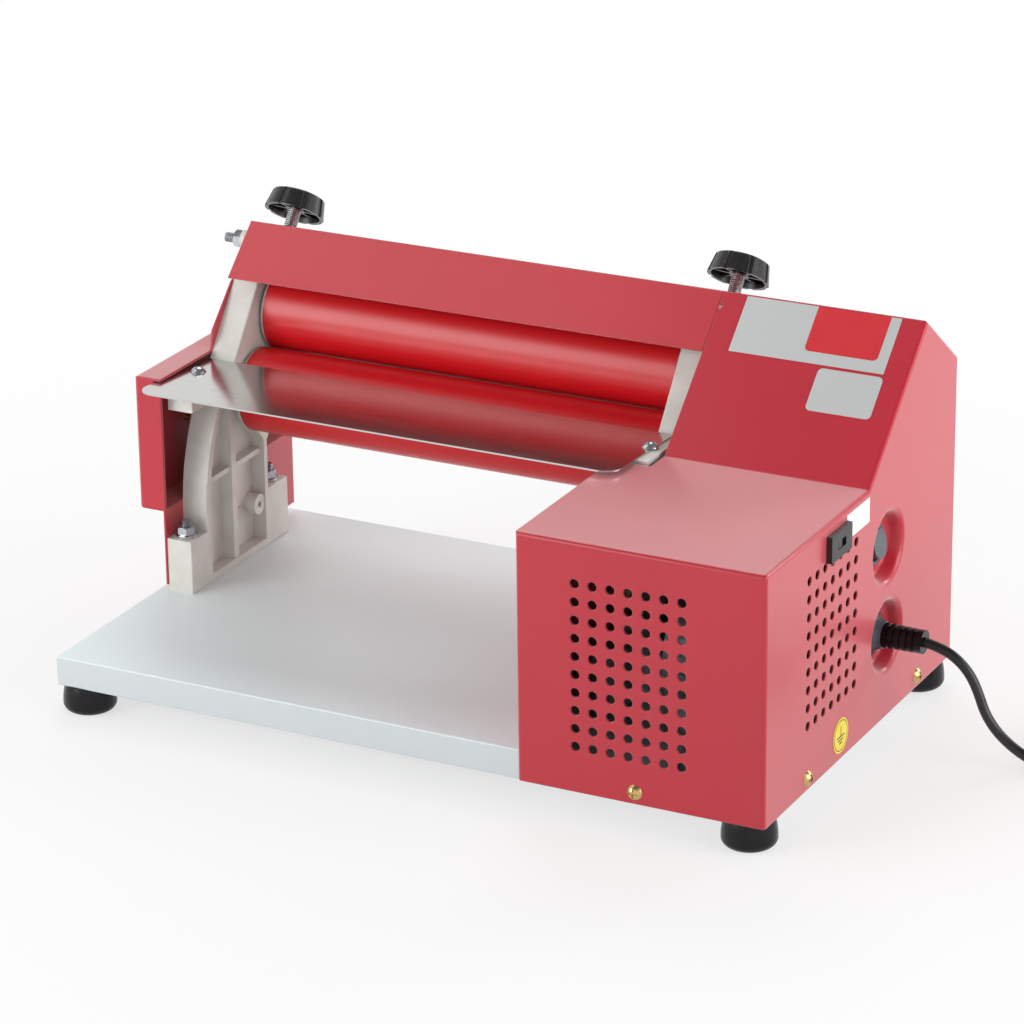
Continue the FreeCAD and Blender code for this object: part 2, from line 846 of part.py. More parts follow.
def make_countershaft():
    """Countershaft cut in one with its pinion."""
    y, z = countershaft_place()
    radius = reduction_module * pinion_teeth / 2
    near = drive_gear_left - pinion_width_over
    far = drive_gear_left + drive_gear_width + pinion_width_over
    pinion = gear(near, far, y, z, pinion_teeth, radius, reduction_module, countershaft_radius,
                  countershaft_angle_deg + 180 + 180 / pinion_teeth)
    shaft = rod_x(counter_stand_near(), pulley_left + pulley_width, y, z, countershaft_radius)
    return joined([pinion, shaft])


def counter_stand_near():
    """Left face of the countershaft's stand."""
    return drive_gear_left - pinion_width_over - pulley_flange_width - stand_thickness


def make_counter_stand():
    """Bracket on the board that carries the countershaft."""
    y, z = countershaft_place()
    near = counter_stand_near()
    far = near + stand_thickness
    half = stand_width / 2
    plate = side_prism([(y - half, 0), (y + half, 0), (y + countershaft_radius * 2, z),
                        ((y, z + countershaft_radius * 2), (y - countershaft_radius * 2, z))],
                       near, far)
    foot = block((near - stand_foot_reach, y - half, 0), (far, y + half, stand_foot_thickness))
    stand = joined([plate, foot])
    bore = countershaft_radius + running_clearance
    return stand.cut(rod_x(near - overrun, far + overrun, y, z, bore))


def pulley(y, z, radius, bore):
    """Flat-belt pulley with two low flanges."""
    near = pulley_left
    far = near + pulley_width
    rim = [(near, radius + pulley_flange), (near + pulley_flange_width, radius + pulley_flange),
           (near + pulley_flange_width, radius), (far - pulley_flange_width, radius),
           (far - pulley_flange_width, radius + pulley_flange), (far, radius + pulley_flange)]
    wheel = revolved_x(rim + [(far, 0), (near, 0)], y, z)
    return wheel.cut(rod_x(near - overrun, far + overrun, y, z, bore))


def make_counter_pulley():
    """Large pulley, dished on both sides of its web."""
    y, z = countershaft_place()
    wheel = pulley(y, z, counter_pulley_radius, countershaft_radius)
    recess = (pulley_width - pulley_web) / 2
    for near in (pulley_left - overrun, pulley_left + pulley_width - recess):
        wheel = wheel.cut(ring_x(near, near + recess + overrun, y, z,
                                 counter_pulley_radius - pulley_web, pulley_hub_radius))
    return wheel


def make_belt():
    """Flat belt around the motor's pulley and the large pulley."""
    y, z = countershaft_place()
    near = pulley_left + pulley_flange_width + belt_clearance
    far = pulley_left + pulley_width - pulley_flange_width - belt_clearance
    span_y = y - motor_y
    span_z = z - motor_z
    distance = math.hypot(span_y, span_z)
    heading = math.atan2(span_z, span_y)

    def loop(extra):
        """Outline of the belt's run at a distance from the pulleys' faces."""
        large = counter_pulley_radius + extra
        small = motor_pulley_radius + extra
        tilt = math.acos((small - large) / distance)
        outline = []
        for side in (-1, 1):
            for centre, radius in (((motor_y, motor_z), small), ((y, z), large)):
                angle = heading + side * tilt
                reach = -radius
                outline.append((centre[0] - reach * math.cos(angle),
                                centre[1] - reach * math.sin(angle)))
        low_small, low_large, high_small, high_large = outline
        far_point = (y + large * math.cos(heading), z + large * math.sin(heading))
        near_point = (motor_y - small * math.cos(heading), motor_z - small * math.sin(heading))
        return [low_large, (far_point, high_large), high_small, (near_point, low_small)]

    outside = side_prism(loop(belt_clearance + belt_thickness), near, far)
    return outside.cut(side_prism(loop(belt_clearance), near - overrun, far + overrun))


def make_lower_shaft():
    """Shaft of the lower roller, from the left cover's bulge to the drive gear."""
    near = frame_left - left_cover_sheet - left_shaft_overhang
    far = drive_gear_left + drive_gear_width + pinion_width_over
    return rod_x(near, far, lower_roller_y, lower_roller_z, lower_shaft_radius)


def make_upper_shaft():
    """Shaft of the upper roller, from its left block to its gear."""
    near = frame_left + 2 * block_side_clearance
    far = roller_gear_left + roller_gear_width
    return rod_x(near, far, upper_roller_y, upper_roller_z, upper_shaft_radius)


def make_collar():
    """Collar that closes the lower shaft's left end."""
    near = frame_left - left_cover_sheet - left_shaft_overhang
    return ring_x(near, near + collar_thickness, lower_roller_y, lower_roller_z, collar_radius,
                  lower_shaft_radius)


def make_bushes(y, z, shaft, inset_x):
    """Two bushes in the side frames or bearing blocks."""
    bushes = []
    for near in (frame_left + inset_x, right_frame_inner + inset_x):
        far = near + frame_thickness - 2 * inset_x
        bushes.append(ring_x(near, far, y, z, shaft + bush_wall, shaft + running_clearance))
    return group(bushes)


def make_block(near):
    """Bearing block of the upper roller with a seat for its spindle's foot."""
    half = block_width / 2
    outline = [from_upper(-block_height / 2, -half), from_upper(-block_height / 2, half),
               from_upper(block_height / 2, half), from_upper(block_height / 2, -half)]
    left = near + block_side_clearance
    right = near + frame_thickness - block_side_clearance
    body = side_prism(outline, left, right)
    body = body.cut(rod_x(left - overrun, right + overrun, upper_roller_y, upper_roller_z,
                          upper_shaft_radius + bush_wall))
    seat = from_upper(block_height / 2 - spindle_foot_depth, 0)
    middle = near + frame_thickness / 2
    return body.cut(rod((middle, seat[0], seat[1]), (0, lean_up[0], lean_up[1]),
                        spindle_radius + running_clearance, spindle_foot_depth + overrun))


def make_spindle(x):
    """Threaded spindle from the bearing block's seat to the knob."""
    start = from_upper(block_height / 2 - spindle_foot_depth + spindle_end_gap, 0)
    length = knob_reach + knob_height - block_height / 2 - spindle_end_gap
    return rod((x, start[0], start[1]), (0, lean_up[0], lean_up[1]), spindle_radius, length)


def make_spindle_nuts():
    """Nuts let into the frames' tops, in which the spindles turn."""
    nuts = []
    seat = from_upper(frame_top_reach - spindle_nut_height, 0)
    for x in (left_bolt_x, right_bolt_x):
        nuts.append(nut((x, seat[0], seat[1]), (0, lean_up[0], lean_up[1]), spindle_nut_flats,
                        spindle_nut_height, spindle_radius + running_clearance))
    return group(nuts)


def make_knob(x):
    """Knob with narrow flutes, tapered and crowned, hollow underneath with ribs."""
    crown_radius = (knob_top_radius ** 2 + knob_crown ** 2) / (2 * knob_crown)
    body = Part.makeCone(knob_base_radius, knob_top_radius, knob_height)
    dome = Part.makeSphere(crown_radius, Vector(0, 0, knob_height + knob_crown - crown_radius))
    cap = Part.makeCylinder(knob_top_radius, knob_crown, Vector(0, 0, knob_height))
    body = joined([body, dome.common(cap)])
    rim = [edge for edge in body.Edges if abs(edge.BoundBox.ZMax - knob_height) < knob_edge_round
           and edge.BoundBox.XLength > knob_top_radius]
    body = body.makeFillet(knob_edge_round, rim)
    taper = math.atan2(knob_base_radius - knob_top_radius, knob_height)
    flutes = []
    for lobe in range(knob_lobes):
        turn = math.radians(knob_first_flute_deg + 360 * lobe / knob_lobes)
        reach = knob_base_radius - knob_flute_depth + knob_flute_radius
        start = Vector(reach * math.cos(turn), reach * math.sin(turn), 0)
        lean_in = Vector(-math.sin(taper) * math.cos(turn), -math.sin(taper) * math.sin(turn),
                         math.cos(taper))
        start = start - lean_in * knob_height
        flutes.append(Part.makeCylinder(knob_flute_radius, 3 * knob_height, start, lean_in))
    body = body.cut(flutes)
    well_mouth = knob_base_radius - knob_wall
    well_floor = well_mouth - knob_well_depth * math.tan(taper)
    well = Part.makeCone(well_mouth, well_floor, knob_well_depth)
    well = well.cut(Part.makeCylinder(knob_hub_radius, knob_well_depth,
                                      Vector(0, 0, knob_rib_inset)))
    for lobe in range(knob_lobes):
        rib = block((0, -knob_rib_width / 2, knob_rib_inset),
                    (knob_base_radius, knob_rib_width / 2, knob_height))
        rib.rotate(Vector(0, 0, 0), Vector(0, 0, 1),
                   knob_first_flute_deg + 360 * (lobe + 1 / 2) / knob_lobes)
        well = well.cut(rib)
    body = body.cut(well)
    body = body.cut(Part.makeCylinder(spindle_radius, knob_height - spindle_foot_depth))
    turn = FreeCAD.Rotation(Vector(0, 0, 1), Vector(0, lean_up[0], lean_up[1]))
    seat = from_upper(knob_reach, 0)
    body.Placement = FreeCAD.Placement(Vector(x, seat[0], seat[1]), turn)
    return body


def tray_placed(shape):
    """Shape drawn flat, with Y back from the tray's rear edge, laid on the tray's slope."""
    shape.rotate(Vector(0, 0, 0), Vector(1, 0, 0), -tray_rise_deg)
    shape.translate(Vector(0, tray_back, tray_back_z))
    return shape


def make_tray():
    """Stainless feed tray with round front corners and a tapered left side."""
    front = -tray_depth
    corner = tray_corner
    tray_right = right_frame_inner + tray_right_reach
    tray_right_back = right_frame_inner + tray_right_back_reach
    bend = corner * (1 - math.sqrt(0.5))
    back = -tray_nip_clearance
    points = [Vector(tray_left, front + corner, 0),
              Vector(tray_left + bend, front + bend, 0), Vector(tray_left + corner, front, 0),
              Vector(tray_right - corner, front, 0),
              Vector(tray_right - bend, front + bend, 0), Vector(tray_right, front + corner, 0)]
    screw_line = tray_screw_y - tray_back
    outline = [Part.Arc(points[0], points[1], points[2]).toShape(),
               Part.LineSegment(points[2], points[3]).toShape(),
               Part.Arc(points[3], points[4], points[5]).toShape(),
               Part.LineSegment(points[5], Vector(tray_right_back, back, 0)).toShape(),
               Part.LineSegment(Vector(tray_right_back, back, 0),
                                Vector(tray_left_back, back, 0)).toShape(),
               Part.LineSegment(Vector(tray_left_back, back, 0), points[0]).toShape()]
    tray = Part.Face(Part.Wire(outline)).extrude(Vector(0, 0, tray_thickness))
    for x in (left_bolt_x, right_bolt_x):
        tray = tray.cut(Part.makeCylinder(tray_screw_radius, tray_thickness,
                                          Vector(x, screw_line, 0)))
    return tray_placed(tray)


def make_tray_screws():
    """Two pan-head screws that hold the tray on the frames' lugs."""
    screws = []
    normal = (0, math.sin(tray_rise), math.cos(tray_rise))
    for x in (left_bolt_x, right_bolt_x):
        seat = Vector(x, tray_screw_y, tray_z(tray_screw_y)) + Vector(*normal) * tray_thickness
        screws.append(pan_screw(tuple(seat), normal, tray_screw_head_radius,
                                tray_screw_head_height, tray_screw_radius,
                                tray_screw_length, tray_screw_slot, tray_screw_slot))
    return group(screws)


def make_cross_cover():
    """Folded red sheet over both rollers between the left frame and the housing."""
    face_foot = (ridge_y - cover_face_width * face_up[0], ridge_z - cover_face_width * face_up[1])
    back_top = crossing((ridge_y, ridge_z), lean_back, (housing_back, 0), (0, 1))
    skirt = (housing_back, back_top[1] - cover_back_skirt)
    below = ridge_z - cover_face_width
    outer = [face_foot, (ridge_y, below), skirt, back_top, (ridge_y, ridge_z)]
    far = tower_left - cover_gap
    solid = side_prism(outer, cover_left, far)
    face_normal = (face_up[1], -face_up[0])
    low_inner = (face_foot[0] + cover_sheet * face_normal[0],
                 face_foot[1] + cover_sheet * face_normal[1])
    ridge_inner = crossing(low_inner, face_up,
                           (ridge_y - cover_sheet * lean_up[0], ridge_z - cover_sheet * lean_up[1]),
                           lean_back)
    back_inner = crossing(ridge_inner, lean_back, (board_depth, 0), (0, 1))
    past_face = (low_inner[0] - ridge_z * face_up[0], low_inner[1] - ridge_z * face_up[1])
    hollow = [past_face, (board_depth, past_face[1]), back_inner, ridge_inner]
    cover = solid.cut(side_prism(hollow, cover_left - overrun, far + overrun))
    for x in (left_bolt_x, right_bolt_x):
        start = (x, upper_roller_y, upper_roller_z)
        cover = cover.cut(rod(start, (0, lean_up[0], lean_up[1]), spindle_hole_radius,
                              knob_reach))
    return cover


def make_left_cover():
    """Left cover: a sheet against the frame with a box pressed outwards at the front."""
    near = frame_left - left_cover_sheet
    back_top = (housing_back, left_cover_tail_z)
    outline = [(left_cover_front, left_cover_foot), (housing_back, left_cover_foot), back_top,
               (left_cover_top_y, left_cover_top_z), (left_cover_neck_y, left_cover_neck_z),
               (left_cover_step_y, left_cover_step_z),
               (left_cover_shoulder_back, left_cover_shoulder),
               (left_cover_front, left_cover_shoulder)]
    plate = side_prism(outline, near, frame_left)
    outer = block((bulge_left, left_cover_front, bulge_foot),
                  (near, housing_back, left_cover_shoulder))
    rounded = [edge for edge in outer.Edges if edge.BoundBox.XMax < near]
    outer = outer.makeFillet(bulge_corner, rounded)
    wall = left_cover_sheet
    inner = block((bulge_left + wall, left_cover_front + wall, bulge_foot + wall),
                  (frame_left + overrun, housing_back - wall, left_cover_shoulder - wall))
    cover = plate.fuse(outer).cut(inner).removeSplitter()
    shaft_hole = lower_shaft_radius + shaft_hole_clearance
    slot_low = tray_z(left_cover_front) - tray_slot_clearance
    holes = [block((tray_left - tray_slot_clearance, left_cover_front - overrun, slot_low),
                   (frame_left + overrun, left_cover_front + wall + overrun,
                    slot_low + tray_thickness + 2 * tray_slot_clearance)),
             rod_x(bulge_left - overrun, bulge_left + 2 * wall, bulge_screw_y, bulge_screw_z,
                   screw_shank_radius),
             rod_x(near - overrun, frame_left + overrun, lower_roller_y, lower_roller_z,
                   shaft_hole)]
    for y, z in cover_screw_places():
        holes.append(rod_x(near - overrun, frame_left + overrun, y, z, screw_shank_radius))
    return cover.cut(holes)


def make_tie_rod():
    """Rod that ties the tops of the side frames."""
    near = frame_left - tie_rod_overhang
    far = right_frame_outer + nut_height + bolt_radius
    return rod_x(near, far, tie_rod_y, tie_rod_z, tie_rod_radius)


def make_tie_rod_nuts():
    """Nuts at the outer faces of the side frames."""
    return group([nut((frame_left, tie_rod_y, tie_rod_z), (-1, 0, 0), nut_flats, nut_height,
                      tie_rod_radius),
                  nut((right_frame_outer, tie_rod_y, tie_rod_z), (1, 0, 0), nut_flats,
                      nut_height, tie_rod_radius)])


def tower_outline():
    """YZ outline of the housing's tower, anticlockwise."""
    back_top = crossing((ridge_y, ridge_z), lean_back, (housing_back, 0), (0, 1))
    foot = crossing((ridge_y, ridge_z), face_up, (0, box_height), (1, 0))
    return [(-sheet, -board_thickness), (housing_back, -board_thickness), back_top,
            (ridge_y, ridge_z), foot, (-sheet, box_height)]


def dish_points(behind):
    """Bends of a dish from its rim to its floor, on its face or behind it by the sheet."""
    lip = dish_lip_round - behind
    foot = dish_floor_round + behind
    lip_x = housing_right - dish_lip_round
    foot_x = dish_floor_x + dish_floor_round
    points = [(lip_x + lip * math.cos(turn), dish_radius - lip * math.sin(turn))
              for turn in (0, dish_turn / 2, dish_turn)]
    points += [(foot_x - foot * math.cos(turn), dish_floor_radius + foot * math.sin(turn))
               for turn in (dish_turn, dish_turn / 2, 0)]
    return points


def dish(y, z):
    """Pressed round dish in the right wall, with a soft lip and a round foot."""
    face = dish_points(0)
    back = dish_points(sheet)
    outline = [face[0], (face[1], face[2]), face[3], (face[4], face[5]), (dish_floor_x, 0),
               (dish_floor_x - sheet, 0), back[5], (back[4], back[3]), back[2],
               (back[1], back[0])]
    return revolved_x(outline, y, z)


def make_housing():
    """Motor housing folded from red sheet, open below, with vents and pressed dishes."""
    low_box = block((box_left, -sheet, -board_thickness), (housing_right, housing_back, box_height))
    body = low_box.fuse(side_prism(tower_outline(), tower_left, housing_right)).removeSplitter()
    bends = [edge for edge in body.Edges
             if edge.BoundBox.XMin > housing_right - overrun or edge.BoundBox.YMax < 0]
    bends = [edge for edge in bends if edge.BoundBox.ZMax > -board_thickness + overrun]
    body = body.makeFillet(housing_bend, bends)
    back = board_depth
    low_hollow = block((box_left + sheet, 0, -board_thickness - overrun),
                       (tower_left + 2 * sheet, box_side_back, box_height - sheet))
    tower_hollow = inset(tower_outline(), sheet)
    tower_hollow[0] = (0, -board_thickness - overrun)
    tower_hollow[1] = (back, -board_thickness - overrun)
    hollow = side_prism(tower_hollow, tower_left + sheet, board_width)
    front_bay = block((tower_left - overrun, 0, -board_thickness - overrun),
                      (tower_left + 2 * sheet, box_side_back, box_height - sheet))
    behind_frame = block((box_left - overrun, box_side_back, -board_thickness - overrun),
                         (tower_left, housing_back + overrun, box_height + overrun))
    notch = block((box_left + sheet, top_notch_front, 0),
                  (tower_left, box_side_back + overrun, box_height + overrun))
    board_space = block((0, 0, -board_thickness - overrun), (board_width, back, 0))
    for space in (low_hollow, hollow, front_bay, behind_frame, notch, board_space):
        body = body.cut(space)
    for y, z in ((rocker_y, rocker_z), (gland_y, gland_z)):
        hole = rod_x(board_width - overrun, housing_right + overrun, y, z, dish_radius)
        body = body.cut(hole).fuse(dish(y, z))
    body = body.removeSplitter()
    wall_near = tower_left - overrun
    wall_far = tower_left + 2 * sheet
    holes = [rod_x(dish_floor_x - 2 * sheet, housing_right, rocker_y, rocker_z,
                   rocker_hole_radius),
             rod_x(dish_floor_x - 2 * sheet, housing_right, gland_y, gland_z,
                   gland_neck_radius),
             rod_x(wall_near, wall_far, lower_roller_y, lower_roller_z,
                   lower_shaft_radius + shaft_slot_clearance),
             rod_x(wall_near, wall_far, tie_rod_y, tie_rod_z, tie_nut_hole_radius)]
    slot = upper_shaft_radius + shaft_slot_clearance
    for up in (0, roller_travel):
        y, z = from_upper(up, 0)
        holes.append(rod_x(wall_near, wall_far, y, z, slot))
    inset_y = selector_body_inset
    holes.append(block((board_width - overrun, selector_front + inset_y, selector_bottom + inset_y),
                       (housing_right + overrun, selector_back - inset_y, selector_top - inset_y)))
    for seat, direction in housing_screw_places():
        holes.append(Part.makeCylinder(screw_shank_radius, 2 * sheet, seat,
                                       Vector(*direction).negative()))
    for column in range(front_vent_columns):
        for row in range(front_vent_rows):
            x = box_left + front_vent_inset + column * vent_pitch
            z = front_vent_top - row * vent_pitch
            holes.append(rod((x, -sheet - overrun, z), (0, 1, 0), vent_radius,
                             sheet + 2 * overrun))
    for column in range(side_vent_columns):
        for row in range(side_vent_rows):
            y = side_vent_front + column * vent_pitch
            z = side_vent_top - row * vent_pitch
            if math.hypot(y - gland_y, z - gland_z) > dish_radius + vent_radius:
                holes.append(rod_x(board_width - overrun, housing_right + overrun, y, z,
                                   vent_radius))
    return body.cut(holes)


def housing_screw_places():
    """Seats and outward directions of the screws along the housing's skirt."""
    places = [(Vector(front_screw_x, -sheet, housing_screw_z), (0, -1, 0)),
              (Vector(front_screw_x, housing_back, housing_screw_z), (0, 1, 0))]
    for y in (side_screw_front_y, side_screw_back_y):
        places.append((Vector(housing_right, y, housing_screw_z), (1, 0, 0)))
    return places


def make_cover_screws():
    """Cross-recess screws of the housing and the left cover."""
    screws = []
    for seat, direction in housing_screw_places():
        screws.append(pan_screw(tuple(seat), direction, screw_head_radius, screw_head_height,
                                screw_shank_radius, screw_length, screw_slot_width,
                                screw_slot_depth))
    near = frame_left - left_cover_sheet
    for y, z in cover_screw_places():
        screws.append(pan_screw((near, y, z), (-1, 0, 0), screw_head_radius, screw_head_height,
                                screw_shank_radius, screw_length, screw_slot_width,
                                screw_slot_depth))
    screws.append(pan_screw((bulge_left, bulge_screw_y, bulge_screw_z), (-1, 0, 0),
                            screw_head_radius, screw_head_height, screw_shank_radius,
                            bulge_screw_length, screw_slot_width, screw_slot_depth))
    return group(screws)


def make_rocker_bezel():
    """Round bezel and body of the rocker switch, open for the button."""
    near = dish_floor_x - rocker_body_depth
    bezel = rod_x(dish_floor_x, dish_floor_x + rocker_bezel_thickness, rocker_y, rocker_z,
                  rocker_bezel_radius)
    rim = [edge for edge in bezel.Edges if edge.BoundBox.XMin > dish_floor_x
           and edge.BoundBox.XLength < rocker_bezel_thickness / 4]
    bezel = bezel.makeChamfer(rocker_bezel_thickness / 3, rim)
    body = rod_x(near, dish_floor_x, rocker_y, rocker_z, rocker_body_radius)
    window = rod_x(dish_floor_x - rocker_window_depth, dish_floor_x + 2 * rocker_bezel_thickness,
                   rocker_y, rocker_z, rocker_window_radius)
    return joined([bezel, body]).cut(window)


def make_rocker_button():
    """Round rocker button with a slightly hollow face, tipped about its middle."""
    radius = rocker_button_radius
    face = dish_floor_x + rocker_bezel_thickness
    low = dish_floor_x - rocker_pivot_depth
    high = face + rocker_button_rise
    waist = radius * rocker_waist_share
    outline = [(low, -waist), (face, -radius), (high, -radius),
               ((high - rocker_button_dip, 0), (high, radius)), (face, radius), (low, waist)]
    wire = closed_wire(outline, lambda x, z: Vector(x, rocker_y - radius, rocker_z + z))
    button = Part.Face(wire).extrude(Vector(0, 2 * radius, 0))
    button = button.common(rod_x(low, high + overrun, rocker_y, rocker_z, radius))
    button.rotate(Vector(low, rocker_y, rocker_z), Vector(0, 1, 0), -rocker_tilt_deg)
    return button


def make_selector():
    """Voltage selector: its plate with a slot, and the slider in the slot."""
    inset_y = selector_body_inset
    plate = block((housing_right, selector_front, selector_bottom),
                  (housing_right + selector_rise, selector_back, selector_top))
    body = block((housing_right - selector_body_depth, selector_front + inset_y,
                  selector_bottom + inset_y),
                 (housing_right, selector_back - inset_y, selector_top - inset_y))
    middle_y = (selector_front + selector_back) / 2
    middle_z = (selector_bottom + selector_top) / 2
    half_width = selector_slot_width / 2
    half_height = selector_slot_height / 2
    floor = housing_right - selector_rise / 2
    slot = block((floor, middle_y - half_width, middle_z - half_height),
                 (housing_right + 2 * selector_rise, middle_y + half_width, middle_z + half_height))
    plate = joined([plate, body]).cut(slot)
    gap = selector_slider_gap
    near_y = middle_y - (selector_travel + selector_slider_width) / 2
    slider = block((floor + gap / 2, near_y, middle_z - half_height + gap),
                   (housing_right + selector_rise - gap, near_y + selector_slider_width,
                    middle_z + half_height - gap))
    return plate, slider


def on_face(shape):
    """Shape drawn with Y up the slope, laid on the housing's slanted face."""
    foot = crossing((ridge_y, ridge_z), face_up, (0, box_height), (1, 0))
    shape.rotate(Vector(0, 0, 0), Vector(1, 0, 0), face_slope_deg)
    shape.translate(Vector(0, foot[0], foot[1]))
    return shape


def make_silver_labels():
    """Bare label plates on the slanted face."""
    wide = block((tower_left + wide_label_left_margin, wide_label_foot, 0),
                 (housing_right - wide_label_right_margin, wide_label_head, label_thickness))
    small_right = housing_right - small_label_right_margin
    small = block((small_right - small_label_width, small_label_foot, 0),
                  (small_right, small_label_head, label_thickness))
    corners = [edge for edge in small.Edges if edge.BoundBox.ZLength > label_thickness / 2]
    small = small.makeFillet(small_label_corner, corners)
    return group([on_face(wide), on_face(small)])


def make_selector_label():
    """Blank sticker beside the voltage selector."""
    return block((housing_right, selector_back, selector_label_bottom),
                 (housing_right + label_thickness, selector_label_back, selector_label_top))


def make_earth_label():
    """Round sticker low on the right wall."""
    return rod_x(housing_right, housing_right + label_thickness, earth_label_y, earth_label_z,
                 earth_label_radius)


def make_motor():
    """Finned motor body with a boss at each end, bored for its shaft."""
    far = motor_left + motor_length
    body = rod_x(motor_left, far, motor_y, motor_z, motor_radius)
    grooves = []
    for index in range(motor_fin_count):
        groove = block((motor_left + motor_boss_height, -motor_fin_width / 2,
                        motor_radius - motor_fin_depth),
                       (far - motor_boss_height, motor_fin_width / 2, motor_radius + overrun))
        groove.rotate(Vector(0, 0, 0), Vector(1, 0, 0), 360 * index / motor_fin_count)
        groove.translate(Vector(0, motor_y, motor_z))
        grooves.append(groove)
    body = body.cut(grooves)
    bosses = rod_x(motor_left - motor_boss_height, far, motor_y, motor_z, motor_boss_radius)
    return body.fuse(bosses).removeSplitter().cut(
        rod_x(motor_left - 2 * motor_boss_height, far + overrun, motor_y, motor_z,
              motor_shaft_radius + running_clearance))


def make_cradle():
    """Folded cradle that seats the motor on the board."""
    middle = motor_left + motor_length / 2
    near = middle - cradle_width / 2
    far = middle + cradle_width / 2
    low = motor_z - motor_radius * cradle_drop_share
    arm = motor_radius * cradle_arm_share
    leg = motor_radius * cradle_leg_share
    outline = [(motor_y - cradle_half_depth, 0), (motor_y + cradle_half_depth, 0),
               (motor_y + cradle_half_depth, cradle_wall), (motor_y + leg, cradle_wall),
               (motor_y + arm, low), (motor_y - arm, low), (motor_y - leg, cradle_wall),
               (motor_y - cradle_half_depth, cradle_wall)]
    cradle = side_prism(outline, near, far)
    return cradle.cut(rod_x(near - overrun, far + overrun, motor_y, motor_z, motor_radius))


def make_rotor():
    """Motor shaft from the pulley to the fan."""
    far = motor_left + motor_length + fan_gap + fan_thickness
    return rod_x(pulley_left, far, motor_y, motor_z, motor_shaft_radius)


def make_fan():
    """Cooling fan at the motor's right end."""
    near = motor_left + motor_length + fan_gap
    far = near + fan_thickness
    parts = [rod_x(near, near + fan_disc, motor_y, motor_z, fan_radius),
             rod_x(near, far, motor_y, motor_z, fan_hub_radius)]
    for index in range(fan_blades):
        blade = block((near, -fan_blade_width / 2, fan_hub_radius - fan_disc),
                      (far, fan_blade_width / 2, fan_radius))
        blade.rotate(Vector(0, 0, 0), Vector(1, 0, 0), 360 * index / fan_blades)
        blade.translate(Vector(0, motor_y, motor_z))
        parts.append(blade)
    fan = joined(parts)
    return fan.cut(rod_x(near - overrun, far + overrun, motor_y, motor_z, motor_shaft_radius))


def make_capacitor():
    """Start capacitor standing in its clip on the board."""
    middle = (box_left + capacitor_inset, capacitor_y, 0)
    can = rod(middle, (0, 0, 1), capacitor_radius, capacitor_length)
    clip = rod(middle, (0, 0, 1),
               capacitor_radius + capacitor_clip_wall, capacitor_clip_height)
    return joined([can, clip])


def make_gland():
    """Cord gland seated in the lower dish, flared from its collar to the strain relief."""
    x = dish_floor_x
    tip = housing_right - relief_inset
    inner = x - sheet
    end = inner - gland_nut_length
    edge = x + gland_collar_edge
    hollow = ((edge + tip - gland_flare_hollow) / 2,
              (gland_collar_radius + gland_flare_radius - gland_flare_hollow) / 2)
    points = [(end, 0), (end, gland_radius), (inner, gland_radius), (inner, gland_neck_radius),
              (x, gland_neck_radius), (x, gland_collar_radius), (edge, gland_collar_radius),
              (hollow, (tip, gland_flare_radius)), (tip, 0)]
    return revolved_x(points, gland_y, gland_z)


def make_strain_relief():
    """Ribbed strain relief that tapers to the cord."""
    near = housing_right - relief_inset
    far = near + relief_length
    step = relief_length / relief_ribs
    points = [(near, 0)]
    for rib in range(relief_ribs):
        share = rib / (relief_ribs - 1)
        radius = relief_root_radius + (relief_tip_radius - relief_root_radius) * share
        start = near + rib * step
        points += [(start, radius), (start + step - relief_groove_width, radius)]
        if rib < relief_ribs - 1:
            inner = radius - relief_groove_depth
            points += [(start + step - relief_groove_width, inner), (start + step, inner)]
    points += [(far, relief_tip_radius), (far, 0)]
    return revolved_x(points, gland_y, gland_z)


def bend_radius(before, here, after):
    """Radius of the arc at a point of the cord's route, and its reach along the runs."""
    arrive = (here - before).normalize()
    leave = (after - here).normalize()
    turn = math.acos(max(-1, min(1, arrive.dot(leave))))
    reach = cord_bend_share * min((here - before).Length, (after - here).Length)
    return reach / math.tan(turn / 2), reach, arrive, leave, turn


def make_cord_tube():
    """Cord from the strain relief to the coil: straight runs joined by tangent arcs."""
    route = [Vector(*point) for point in cord_route]
    edges = []
    start = route[0]
    radii = []
    for index in range(1, len(route) - 1):
        here = route[index]
        radius, reach, arrive, leave, turn = bend_radius(route[index - 1], here, route[index + 1])
        radii.append(round(radius, 1))
        first = here - arrive * reach
        last = here + leave * reach
        inwards = (leave - arrive).normalize()
        middle = here + inwards * (radius / math.cos(turn / 2) - radius)
        edges.append(Part.LineSegment(start, first).toShape())
        edges.append(Part.Arc(first, middle, last).toShape())
        start = last
    edges.append(Part.LineSegment(start, route[-1]).toShape())
    path = Part.Wire(edges)
    heading = route[1] - route[0]
    section = Part.Wire([Part.makeCircle(cord_diameter / 2, route[0], heading)])
    tube = path.makePipeShell([section], True, False)
    expected = math.pi * cord_diameter ** 2 / 4 * path.Length
    print("cord tube radii", radii)
    print("cord tube length", round(path.Length, 1), "volume share",
          round(tube.Volume / expected, 4))
    return tube


def biarc(start, start_heading, end, end_heading):
    """Two tangent arcs between two points with given headings."""
    chord = end - start
    total = start_heading + end_heading
    along = chord.dot(total)
    twist = 2 * (1 - start_heading.dot(end_heading))
    size = (-along + math.sqrt(along ** 2 + twist * chord.dot(chord))) / twist
    joint = (start + end + (start_heading - end_heading) * size) / 2
    edges = []
    for point, heading, far in ((start, start_heading, joint), (end, end_heading.negative(), joint)):
        span = far - point
        across = span - heading * span.dot(heading)
        offset = span.dot(span) / (2 * across.Length)
        centre = point + across.normalize() * offset
        middle = centre + ((point - centre) + (far - centre)).normalize() * offset
        arc = (point, middle, far) if far == joint and point == start else (far, middle, point)
        edges.append(Part.Arc(*arc).toShape())
    return edges


